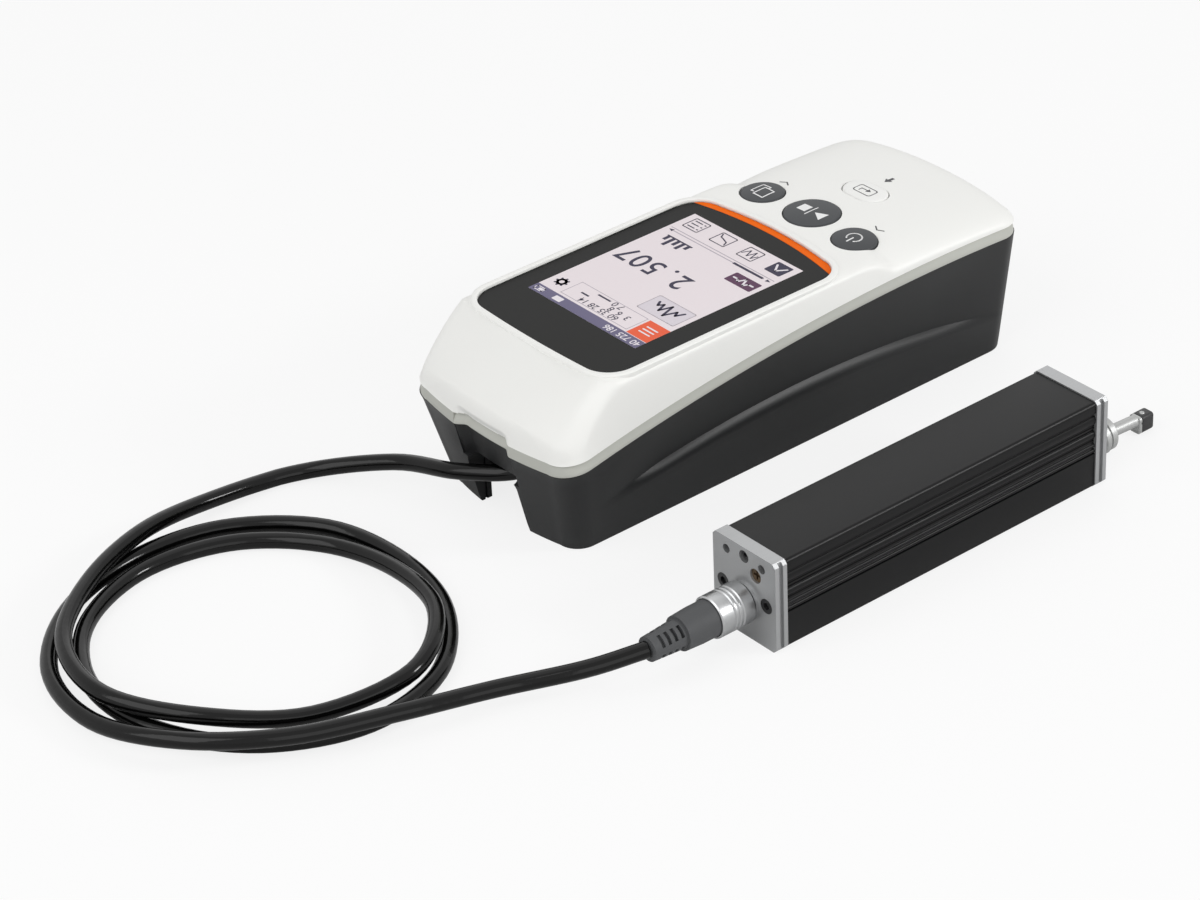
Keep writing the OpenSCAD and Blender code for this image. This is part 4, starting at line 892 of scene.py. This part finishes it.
    def case(self) -> None:
        """The dark case, with the docking bay, arch, recess and port."""
        f = self.form
        ends = (f.swell, f.swell)
        lo = full_outline(f.half_outline(-f.xr + f.foot_in, f.xr - f.foot_in_keys, f.foot_half, f.case_r,
                                         ends, 90, 12, 12))
        hi = full_outline(f.half_outline(-f.xr + f.end_gap, f.xr - f.end_gap, f.half_w - f.lip_gap,
                                         f.case_r + 0.5, ends, 90, 12, 12))
        rings = []
        for inset, z in ((0.6, 0.0), (0.28, 0.14), (0.08, 0.35), (0.0, 0.6)):
            foot = full_outline(f.half_outline(-f.xr + f.foot_in + inset, f.xr - f.foot_in_keys - inset,
                                               f.foot_half - inset, f.case_r - inset, ends, 90, 12, 12))
            rings.append([(x, y, z) for x, y in foot])
        levels = [(0.3, -0.04), (0.55, -0.12), (0.7, -0.18)]
        levels += [(0.82 + 0.18 * t, -0.25 + 1.5 * t * t) for t in np.linspace(0, 1, 10)]
        levels += [(1.001, 1.28), (1.1, 1.25), (1.35, 1.1), (1.5, 0.9), (1.7, 0.6), (1.85, 0.25), (2.0, 0.0)]
        rings += [self.case_ring(level, scoop, lo, hi) for level, scoop in levels]
        skin = Piece("case_skin")
        skin.loft([self.shifted(r) for r in rings], caps=False)
        n = len(lo)
        for k in (0, len(rings) - 1):
            strip = [(0, 1, n - 1)] + [(i, i + 1, n - i - 1, n - i) for i in range(1, n // 2 - 1)] \
                + [(n // 2 - 1, n // 2, n // 2 + 1)]
            skin.faces += [[k * n + i for i in s] for s in strip]
        obj = skin.build(None)
        carve(obj, [cutter.build(None) for cutter in self.case_cutters()])
        dress(obj, Finishes.CASE, "base", ("lower_case",), smooth=32)

    def case_cutters(self) -> list[Piece]:
        """Everything that is cut out of the case."""
        f = self.form
        y = f.disp_y
        out: list[Piece] = []

        def box(name: str, lo: Sequence[float], hi: Sequence[float]) -> Piece:
            """A box cutter."""
            piece = Piece(name)
            piece.prism([(lo[0], lo[1]), (hi[0], lo[1]), (hi[0], hi[1]), (lo[0], hi[1])], lo[2], hi[2])
            out.append(piece)
            return piece
        bay = Piece("bay")
        ribs = [(-62.1, -60.9), (-20.9, -19.7)]
        side = [(-72.1, 16.5)] + [p for a, b in ribs for p in ((a, 16.5), (a, 12.2), (b, 12.2), (b, 16.5))] \
            + [(43.9, 16.5)]
        bay.prism([(px, y + py) for px, py in side] + [(px, y - py) for px, py in side[::-1]], -1, 24)
        out.append(bay)
        arch = Piece("arch")
        w, r = 10.15, 3.0
        crown = [(-w, -1), (-w, 17 - r)] + [(-w + r - r * math.cos(a), 17 - r + r * math.sin(a))
                                            for a in np.linspace(0, math.pi / 2, 9)[1:]]
        crown += [(-u, v) for u, v in crown[::-1]]
        arch.prism([(u + y, v) for u, v in crown], -84, -71, plane="YZ")
        out.append(arch)
        lean = math.atan2(6.8, 24.8)
        notch = Piece("notch")
        rings = []
        for h in (16.5, 32.0):
            ring = []
            for d, side in notch_line(f, f.notch_d):
                ring.append((-75.1 + d * math.cos(lean) - h * math.sin(lean), y + side,
                             h * math.cos(lean) + d * math.sin(lean)))
            rings.append(ring)
        notch.loft(rings)
        out.append(notch)
        box("leg_slots", (-74.3, y - 10.75, -1), (-73.6, y + 10.75, 12.5))
        box("port", (76.9, y - 22, 22.5), (84, y + 4, 34.5))
        box("plug_way", (43, y - 4.8, 12.8), (46.5, y + 4.8, 22.4))
        door = Piece("door")
        door.prism(moved(rounded(30, 35, 1.5), 61.05, y), -1, 1.2)
        out.append(door)
        for px, py in ((-61.05, -21.4), (-61.05, 21.4), (70.95, -21.4), (70.95, 21.4)):
            hole = Piece("screw_hole")
            hole.lathe([(2.35, -1), (2.35, 21 if px < 0 else 31)], (px, y + py, 0), sides=40)
            out.append(hole)
        inner = Piece("inner")
        for_lo = f.half_outline(-71.6, 79.4, 22.95, 5.8, (f.swell, f.swell), 8, 3, 3)
        for_hi = f.half_outline(-79.7, 79.7, 30.1, 5.8, (f.swell, f.swell), 8, 3, 3)
        inner.loft([self.shifted([(px, py, 26.5) for px, py in full_outline(
                        [(mix(a[0], b[0], 0.85), mix(a[1], b[1], 0.85)) for a, b in zip(for_lo, for_hi)])]),
                    self.shifted([(px, py, 45) for px, py in full_outline(for_hi)])])
        out.append(inner)
        return out

    def window(self) -> None:
        """The dark window and the orange strip beside the keys."""
        f = self.form
        low = f.plateau_z - f.pocket_d
        parts = (("window_pane", Finishes.WINDOW, "window_glass", 0.0, "DIFFERENCE"),
                 ("orange_strip", Finishes.ACCENT, "accent_strip", 0.08, "INTERSECT"))
        for name, finish, node, gap, mode in parts:
            plate, zone = Piece(name), Piece("zone")
            plate.prism([(x, y + f.disp_y) for x, y in f.window(-0.08)], low, low + f.glass_t)
            zone.prism([(x, y + f.disp_y) for x, y in f.accent_zone(gap)], low - 1, low + 3)
            obj = plate.build(None)
            carve(obj, [zone.build(None)], mode)
            dress(obj, finish, "base", (node,), bevel=0.1)

    def picture(self) -> None:
        """The lit picture with digits and signs of its own."""
        f = self.form
        z = f.plateau_z - 0.24
        mid = (-19.0, f.disp_y)
        w, h = 43.2, 57.6

        def sheet(name: str, layer: int) -> Sheet:
            """A layer of the picture."""
            return Sheet("picture_" + name, mid, z + 0.012 * layer, 0.012)
        back = sheet("face", 0)
        back.shape([(-w / 2, -h / 2), (w / 2, -h / 2), (w / 2, h / 2), (-w / 2, h / 2)])
        back.build(Finishes.SCREEN)
        top = h / 2
        sheet("header", 1).shape(rect(0, top - 1.8, w, 3.6)).build(Finishes.HEADER)
        sheet("menu", 1).shape(rect(-17.6, 20.9, 8.0, 8.2)).build(Finishes.MENU)
        sheet("panels", 1).shape(rounded_at(-12.7, 10.6, 14.3, 8.2, 0.5)).build(Finishes.PALE)
        lines = sheet("lines", 1)
        lines.ring(rect(0.55, 20.5, 26.5, 7.4), 0.2).ring(rounded_at(-12.7, 10.6, 14.3, 8.2, 0.5), 0.16)
        lines.shape(rect(0.4, -18.5, 36.0, 0.35)).shape(rect(0, -19.6, 41.0, 0.3)).build(Finishes.SHADE)
        sheet("badge", 1).shape(rounded_at(-15.1, -13.5, 9.9, 4.8, 0.4)).build(Finishes.BADGE)
        ink = sheet("ink", 2)
        for word, u in (("2", -4.1), ("5", 6.6), ("0", 11.9), ("7", 17.2)):
            ink.text(word, (u, -1.85), 9.8, 0.007)
        ink.shape(moved(disc(0.62, 20), 0.9, -4.7))
        for i, rise in enumerate((1.8, 3.4, 2.5, 4.3, 2.1)):
            ink.shape(rect(8.8 + 2.0 * i, -15.6 + rise / 2, 1.15, rise))
        ink.shape(rect(12.8, -15.9, 9.9, 0.55))
        ink.stroke([(-17.4, 8.4), (-16.3, 10.8), (-15.3, 9.2), (-13.8, 13.0), (-12.4, 8.2), (-11.1, 12.0),
                    (-10.0, 9.0), (-9.0, 10.4), (-8.0, 8.8)], 0.75)
        ink.text("60 35 28 14", (0.2, 22.7), 3.1, 0.004)
        ink.text("3  6  8", (-5.4, 20.4), 3.1, 0.004).shape(rect(8.4, 20.4, 3.0, 0.6))
        ink.text("7 0", (-2.2, 18.0), 3.1, 0.004).shape(rect(3.4, 18.0, 5.0, 0.6))
        ink.ring(moved(disc(1.2, 24), 17.7, 20.6), 0.85)
        for i in range(8):
            a = math.radians(45 * i)
            ink.stroke([(17.7 + 1.4 * math.cos(a), 20.6 + 1.4 * math.sin(a)),
                        (17.7 + 1.85 * math.cos(a), 20.6 + 1.85 * math.sin(a))], 0.65)
        ink.shape(rect(-11.5, -18.5, 11.6, 0.85))
        ink.shape([(-20.2, -18.5), (-18.6, -17.9), (-18.6, -19.1)])
        ink.shape([(20.2, -18.5), (18.6, -19.1), (18.6, -17.9)])
        ink.shape(rounded_at(-16.5, -24.8, 5.9, 5.5, 0.5))
        for x in (-5.4, 5.5, 16.3):
            ink.ring(rounded_at(x, -24.8, 5.7, 5.3, 0.4), 0.32)
        ink.stroke([(-7.8, -25.2), (-7.0, -23.2), (-6.2, -26.4), (-5.2, -23.4), (-4.2, -26.2),
                    (-3.0, -23.8)], 0.36)
        ink.stroke([(3.2, -22.9), (3.8, -24.3), (5.6, -25.0), (7.0, -25.4), (7.8, -26.8)], 0.4)
        for i in range(3):
            ink.stroke([(14.3, -26.3 + 1.5 * i), (14.6, -26.3 + 1.5 * i)], 0.45)
            ink.stroke([(15.7, -26.3 + 1.5 * i), (18.2, -26.3 + 1.5 * i)], 0.4)
        ink.build(Finishes.INK)
        white = sheet("white", 3)
        white.text("40 725 186", (-14.3, top - 1.8), 3.0, 0.01)
        white.shape(rounded_at(11.5, top - 1.8, 3.2, 2.0, 0.3))
        white.ring(rounded_at(19.0, top - 1.8, 3.2, 1.7, 0.3), 0.3).shape(rect(18.5, top - 1.8, 1.6, 1.0))
        for i in range(3):
            white.stroke([(-19.5, 19.5 + 1.4 * i), (-15.6, 19.5 + 1.4 * i)], 0.5)
        white.stroke([(-18.8, -13.6), (-17.2, -13.6), (-16.3, -12.1), (-15.0, -15.0), (-13.8, -12.6),
                      (-13.0, -13.6), (-11.4, -13.6)], 0.6)
        white.stroke([(-18.4, -26.1), (-16.5, -23.5), (-14.6, -26.1)], 0.6)
        white.build(Finishes.SCREEN_WHITE)

    def keys(self) -> None:
        """The four keys, with domed tops."""
        f = self.form
        names = ("page", "start", "power")
        for name, ((x, y), d) in zip(names, KEYS.items()):
            top, r, slope = f.deck_z(x, y) + f.key_proud, d / 2, f.key_slope(x, y, d)
            cap = Piece(name + "_cap")
            edge = [(r - 0.5 * (1 - math.cos(a)), top - 0.5 * (1 - math.sin(a)))
                    for a in np.linspace(0, math.pi / 2, 8)]
            dome = [(s * (r - 0.5), top + 0.45 * (1 - s * s)) for s in np.linspace(1, 0.02, 14)[1:]]
            cap.lathe([(0.02, f.key_foot_z), (r + 0.9, f.key_foot_z), (r + 0.9, f.key_flange_z),
                       (r, f.key_flange_z), *edge, *dome],
                      (x, y + f.disp_y, 0), sides=96)
            cap.verts = [(vx, vy, vz - slope * (vy - y - f.disp_y) * (vz > 44.3)) for vx, vy, vz in cap.verts]
            cap.build(Finishes.KEY, name + "_button", (name + "_key",))
        x, length, width = ENTER
        top = f.deck_z(x, 0) + f.key_proud
        oval = Piece("enter_cap")
        rings = []
        for grow, z in ((0.9, f.key_foot_z), (0.9, f.key_flange_z), (0, f.key_flange_z), (0, top - 0.5),
                        (-0.07, top - 0.25), (-0.25, top - 0.07), (-0.5, top), (-1.6, top + 0.08),
                        (-3.2, top + 0.12)):
            ring = rounded(length + 2 * grow, width + 2 * grow, length / 2 + grow - 0.01, 14)
            rings.append([(px + x, py + f.disp_y, z) for px, py in ring])
        oval.loft(rings)
        oval.build(Finishes.KEY_WHITE, "enter_button", ("enter_key",))

    def key_top(self, index: int) -> HeightMap:
        """Height of a round key's domed top."""
        (kx, ky), d = list(KEYS.items())[index]
        top, slope = self.form.deck_z(kx, ky) + self.form.key_proud, self.form.key_slope(kx, ky, d)

        def height(x: float, y: float) -> float:
            """Height at a point of the plan."""
            s = min(1.0, math.hypot(x - kx, y - self.form.disp_y - ky) / (d / 2 - 0.5))
            return top + 0.45 * (1 - s * s) - slope * (y - self.form.disp_y - ky) - 0.005
        return height

    def prints(self) -> None:
        """Signs on the keys and arrows on the deck."""
        f = self.form
        centres = [(x, y + f.disp_y) for x, y in KEYS]
        page = Sheet("page_sign", centres[0], self.key_top(0))
        page.ring(rect(-1.1, 0.5, 3.6, 4.4), 0.4)
        page.stroke([(1.5, 1.9), (2.5, 1.9), (2.5, -2.7), (-0.5, -2.7), (-0.5, -2.1)], 0.4)
        page.build(Finishes.PRINT_WHITE, "page_button")
        start = Sheet("start_sign", centres[1], self.key_top(1))
        start.shape([(-4.6, -2.0), (-1.2, 0), (-4.6, 2.0)]).shape(rect(2.9, 0, 3.2, 3.2))
        start.stroke([(0.2, -2.4), (0.2, 2.4)], 0.35)
        start.build(Finishes.PRINT_WHITE, "start_button")
        power = Sheet("power_sign", centres[2], self.key_top(2))
        arc = [(2.1 * math.sin(a), 2.1 * math.cos(a)) for a in np.linspace(0.7, 2 * math.pi - 0.7, 22)]
        power.stroke(arc, 0.45).stroke([(0, 0.4), (0, 2.7)], 0.45)
        power.build(Finishes.PRINT_WHITE, "power_button")
        deck: HeightMap = lambda x, y: f.deck_z(x, y - f.disp_y) + 0.01
        marks = Sheet("deck_marks", (0.0, f.disp_y), deck)
        for side in (-1, 1):
            u, v, tip = 18.25 * side + 0.25, -39.8 - 0.4 * side, -1.1 * side
            marks.stroke([(u - 1.6, v - tip), (u, v), (u + 1.6, v - tip)], 0.4)
        marks.shape([(-0.3, -61.8), (2.3, -61.8), (1.0, -60.0)]).shape(rect(1.0, -62.6, 1.0, 1.8))
        marks.build(Finishes.PRINT_DARK)
        enter = Sheet("enter_sign", (ENTER[0], f.disp_y), f.deck_z(ENTER[0], 0) + f.key_proud + 0.11)
        enter.ring(rounded_at(0, 0, 6.4, 3.6, 0.8), 0.3).stroke([(1.6, 0.9), (1.6, -0.3), (-0.6, -0.3)], 0.35)
        enter.shape([(-1.8, -0.3), (-0.5, 0.6), (-0.5, -1.2)])
        enter.build(Finishes.PRINT_DARK, "enter_button")


@dataclass(frozen=True)
class Studio:
    """Camera, floor, lamps and background."""

    f_pixels: float = 4021.28
    photo_w: float = 1200.0
    sensor_w: float = 36.0
    right: Place = (0.76837003, -0.63882363, -0.03888272)
    down: Place = (-0.3636587, -0.38579707, -0.84788736)
    forward: Place = (0.52664964, 0.66563128, -0.52874867)
    place: Place = (-601.2, -674.05, 566.5)

    def camera(self) -> None:
        """The camera at the photograph's place and angle."""
        data = bpy.data.cameras.new("camera")
        data.sensor_width = self.sensor_w
        data.lens = self.f_pixels / self.photo_w * self.sensor_w
        data.clip_start, data.clip_end = 0.05, 20
        cam = bpy.data.objects.new("camera", data)
        bpy.context.scene.collection.objects.link(cam)
        rot = Matrix((self.right, [-c for c in self.down], [-c for c in self.forward])).transposed()
        cam.matrix_world = Matrix.Translation(Vector(self.place) * MM) @ rot.to_4x4()
        bpy.context.scene.camera = cam

    def floor(self) -> None:
        """A pale floor that keeps a soft shadow."""
        piece = Piece("floor")
        piece.add([(-4000, -4000, 0), (4000, -4000, 0), (4000, 4000, 0), (-4000, 4000, 0)], [(0, 1, 2, 3)])
        obj = piece.build(None)
        mat = bpy.data.materials.new("floor_white")
        mat.use_nodes = True
        tree = mat.node_tree
        new, link = tree.nodes.new, tree.links.new
        tree.nodes.clear()
        out, blend = new("ShaderNodeOutputMaterial"), new("ShaderNodeMixShader")
        matt, glow, path = new("ShaderNodeBsdfDiffuse"), new("ShaderNodeEmission"), new("ShaderNodeLightPath")
        matt.inputs["Color"].default_value = (0.86, 0.86, 0.86, 1)
        glow.inputs["Strength"].default_value = 1.0
        fade = new("ShaderNodeMath")
        fade.operation = "MULTIPLY"
        fade.inputs[1].default_value = 0.82
        link(path.outputs["Is Camera Ray"], fade.inputs[0])
        link(fade.outputs[0], blend.inputs["Fac"])
        link(matt.outputs[0], blend.inputs[1])
        link(glow.outputs[0], blend.inputs[2])
        link(blend.outputs[0], out.inputs["Surface"])
        obj.data.materials.append(mat)

    def world(self) -> None:
        """White to the camera and to reflections, a plain level for the light on the object."""
        world = bpy.data.worlds.new("studio")
        bpy.context.scene.world = world
        world.use_nodes = True
        tree = world.node_tree
        new, link = tree.nodes.new, tree.links.new
        back, path = tree.nodes["Background"], new("ShaderNodeLightPath")
        seen, both, level = new("ShaderNodeMath"), new("ShaderNodeMath"), new("ShaderNodeMapRange")
        seen.operation = both.operation = "MAXIMUM"
        link(path.outputs["Is Camera Ray"], seen.inputs[0])
        link(path.outputs["Is Glossy Ray"], seen.inputs[1])
        link(seen.outputs[0], both.inputs[0])
        link(path.outputs["Is Transmission Ray"], both.inputs[1])
        level.inputs["To Min"].default_value = 0.46
        level.inputs["To Max"].default_value = 1.0
        link(both.outputs[0], level.inputs["Value"])
        link(level.outputs["Result"], back.inputs["Strength"])
        back.inputs["Color"].default_value = (1, 1, 1, 1)

    def lamps(self) -> None:
        """Soft lamps: broad ones over the object, weak ones that put a sheen on dark edges."""
        self.lamp("key", (-900, 0, 700), (-20, 0, 20), 0.9, 5.0)
        self.lamp("top", (150, 300, 1100), (0, 0, 20), 0.8, 0.9)
        self.lamp("front", (-350, -1000, 350), (0, 0, 20), 0.8, 1.8)
        self.lamp("edge", (600, -760, 520), (0, 0, 20), 0.22, 4.2)
        self.lamp("sheen", (640, 800, 640), (0, 0, 20), 0.9, 1.0)

    @staticmethod
    def lamp(name: str, place: Sequence[float], aim: Sequence[float], size: float, power: float) -> None:
        """A square soft lamp.

        Args:
            name: its name.
            place: where it is, in millimetres.
            aim: where it points.
            size: its side in metres.
            power: its power in watts.
        """
        data = bpy.data.lights.new(name, "AREA")
        data.size = size
        data.energy = power
        obj = bpy.data.objects.new(name, data)
        bpy.context.scene.collection.objects.link(obj)
        obj.location = Vector(place) * MM
        obj.rotation_mode = "QUATERNION"
        obj.rotation_quaternion = (Vector(aim) - Vector(place)).to_track_quat("-Z", "Y")


@dataclass
class DriveUnit:
    """The drive unit: ribbed extrusion, rear screw, and the detector's nose."""

    axis_y: float = -52.25
    x0: float = -62.1
    x1: float = 45.1
    half_w: float = 11.1
    low: float = 0.4
    high: float = 25.6
    top_r: float = 1.1
    nose_z: float = 5.195
    tip_x: float = 71.8
    bore_half: float = 8.9
    bore_low: float = 2.6
    bore_high: float = 23.4
    head_w: float = 4.0
    head_h: float = 5.1
    head_r: float = 0.95
    head_z: float = 2.95
    slot_x: float = 72.0
    slot_half: float = 0.7
    slot_top: float = 4.75

    def build(self) -> None:
        """Makes the drive unit's pieces."""
        self.extrusion()
        self.rear_screw()
        self.tube()
        self.head()

    def flank(self) -> list[Point]:
        """One side of the extrusion from the foot up, as (place across, height)."""
        w = self.half_w
        out = [(w - 0.5, self.low), (w - 0.15, self.low + 0.12), (w, self.low + 0.45), (w, 10.3)]
        for low, high in ((10.6, 11.7), (12.3, 13.3), (15.1, 16.9), (19.1, 21.5)):
            if low > 14:
                for z in (low - 1.65, low - 0.75):
                    out += [(w - 0.5, z - 0.16), (w - 0.85, z), (w - 0.5, z + 0.16)]
            out.append((w - 0.62, low - 0.12))
            for i in range(9):
                a = math.pi * i / 8
                out.append((w - 0.5 + 0.5 * math.sin(a), mix(low, high, (1 - math.cos(a)) / 2)))
            out.append((w - 0.62, high + 0.12))
        out += [(w - 0.5, 22.25), (w, 22.5), (w, self.high - self.top_r)]
        for i in range(1, 9):
            a = math.pi / 2 * i / 8
            out.append((w - self.top_r * (1 - math.cos(a)), self.high - self.top_r * (1 - math.sin(a))))
        return out

    def extrusion(self) -> None:
        """The long black body between the plates, hollow as the real one."""
        side = self.flank()
        outer = side + [(-y, z) for y, z in side[::-1]]
        inner = [(max(-self.bore_half, min(self.bore_half, y)), max(self.bore_low, min(self.bore_high, z)))
                 for y, z in outer]
        body = Piece("extrusion_body")

        def ring(shape: Shape, x: float) -> list[Place]:
            """One outline at x."""
            return [(x, y + self.axis_y, z) for y, z in shape]
        loops = [ring(outer, self.x0), ring(outer, self.x1), ring(inner, self.x1), ring(inner, self.x0)]
        body.loft([*loops, loops[0]], caps=False)
        body.build(Finishes.EXTRUSION, "base", ("drive_housing",), smooth=28)

    def rear_screw(self) -> None:
        """A socket screw in the counterbore at the top of the rear plate."""
        screw = Piece("rear_stop_screw")
        screw.lathe([(0.02, 0.9), (0.62, 0.9), (0.62, 0.25), (1.05, 0.25), (1.2, 0.4), (1.2, 1.6), (0.02, 1.6)],
                    (-65.75, self.axis_y, 23.55), "X", 36)
        screw.build(Finishes.BLACKENED, "base")

    def tube(self) -> None:
        """The detector's body: seal, turned collar and the slim rod to its head."""
        tube = Piece("detector_tube")
        at = (0.0, self.axis_y, self.nose_z)
        tube.lathe([(0.02, 4.1), (1.8, 4.1), (1.8, 45.2), (4.0, 45.2), (4.0, 54.4), (4.5, 54.4), (4.5, 56.4),
                    (4.8, 56.4), (5.05, 56.65), (5.05, 58.0), (4.8, 58.3), (4.4, 58.4), (4.4, 58.8),
                    (4.75, 58.9), (4.75, 60.6), (4.5, 60.9), (3.0, 61.2), (2.8, 62.0), (2.5, 62.3),
                    (0.02, 62.3)], at, "X")
        base = len(tube.verts)
        tube.lathe([(0.02, 60.6), (1.7, 60.6), (1.7, 66.0), (1.7, self.tip_x + 0.1), (0.02, self.tip_x + 0.1)],
                   at, "X", 48)
        tube.verts[base:] = [(x, y, z - 0.45 - 0.055 * (x - 59.6)) for x, y, z in tube.verts[base:]]
        tube.build(Finishes.DETECTOR, "slider", ("detector_body",))

    def block(self, name: str, stations: Sequence[tuple[float, float]], finish: Finish,
              replaces: Sequence[str] = (), slot: bool = False) -> None:
        """A rounded block of the detector's head.

        Args:
            name: its name.
            stations: (place along, inset) pairs.
            finish: its finish.
            replaces: CAD nodes that it stands for.
            slot: whether the stylus slot is cut in it from below.
        """
        piece = Piece(name)
        rings = []
        for x, inset in stations:
            shape = rounded(self.head_w - 2 * inset, self.head_h - 2 * inset, self.head_r - inset * 0.5, 8)
            rings.append([(x, y + self.axis_y, z + self.head_z) for y, z in shape])
        piece.loft(rings)
        if not slot:
            piece.build(finish, "slider", replaces)
            return
        obj = piece.build(None)
        cut = Piece("slot")
        near, far = self.axis_y - self.slot_half, self.axis_y + self.slot_half
        cut.prism([(self.slot_x, near), (78, near), (78, far), (self.slot_x, far)], -1, self.slot_top)
        carve(obj, [cut.build(None)])
        dress(obj, finish, "slider", replaces)

    def head(self) -> None:
        """The dark head with its metal collar and a bead on top."""
        self.block("head_collar", ((71.6, 0.35), (71.66, 0.15), (71.85, 0.0), (72.55, 0.0), (72.7, 0.12)),
                   Finishes.DETECTOR, slot=True)
        self.block("head_block", ((72.7, 0.3), (72.75, 0.12), (72.9, 0.0), (76.5, 0.0), (76.8, 0.08),
                                  (77.05, 0.3), (77.15, 0.65)), Finishes.HEAD, ("detector_head",), True)
        bead = Piece("head_bead")
        bead.lathe([(0.8, -0.3), (0.8, 0.0), (0.7, 0.2), (0.45, 0.36), (0.02, 0.42)],
                   (74.3, self.axis_y, 5.46), sides=32)
        bead.build(Finishes.DETECTOR, "slider")


def dress_cad() -> None:
    """Gives every carried-over CAD node its material."""
    for name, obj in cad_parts.items():
        mat = MATERIALS.get(CAD_FINISHES[name])
        if not obj.material_slots:
            obj.data.materials.append(mat)
        for slot in obj.material_slots:
            slot.material = mat


def main() -> None:
    """Builds the scene: camera and cable first, then the studio and the two units."""
    logging.basicConfig(level=logging.INFO, format="%(message)s")
    studio = Studio()
    studio.camera()
    Cable().build()
    dress_cad()
    studio.floor()
    studio.world()
    studio.lamps()
    DisplayUnit(DisplayForm()).build()
    DriveUnit().build()
    bpy.context.scene.view_settings.view_transform = "Standard"


if __name__ == "__main__":
    main()
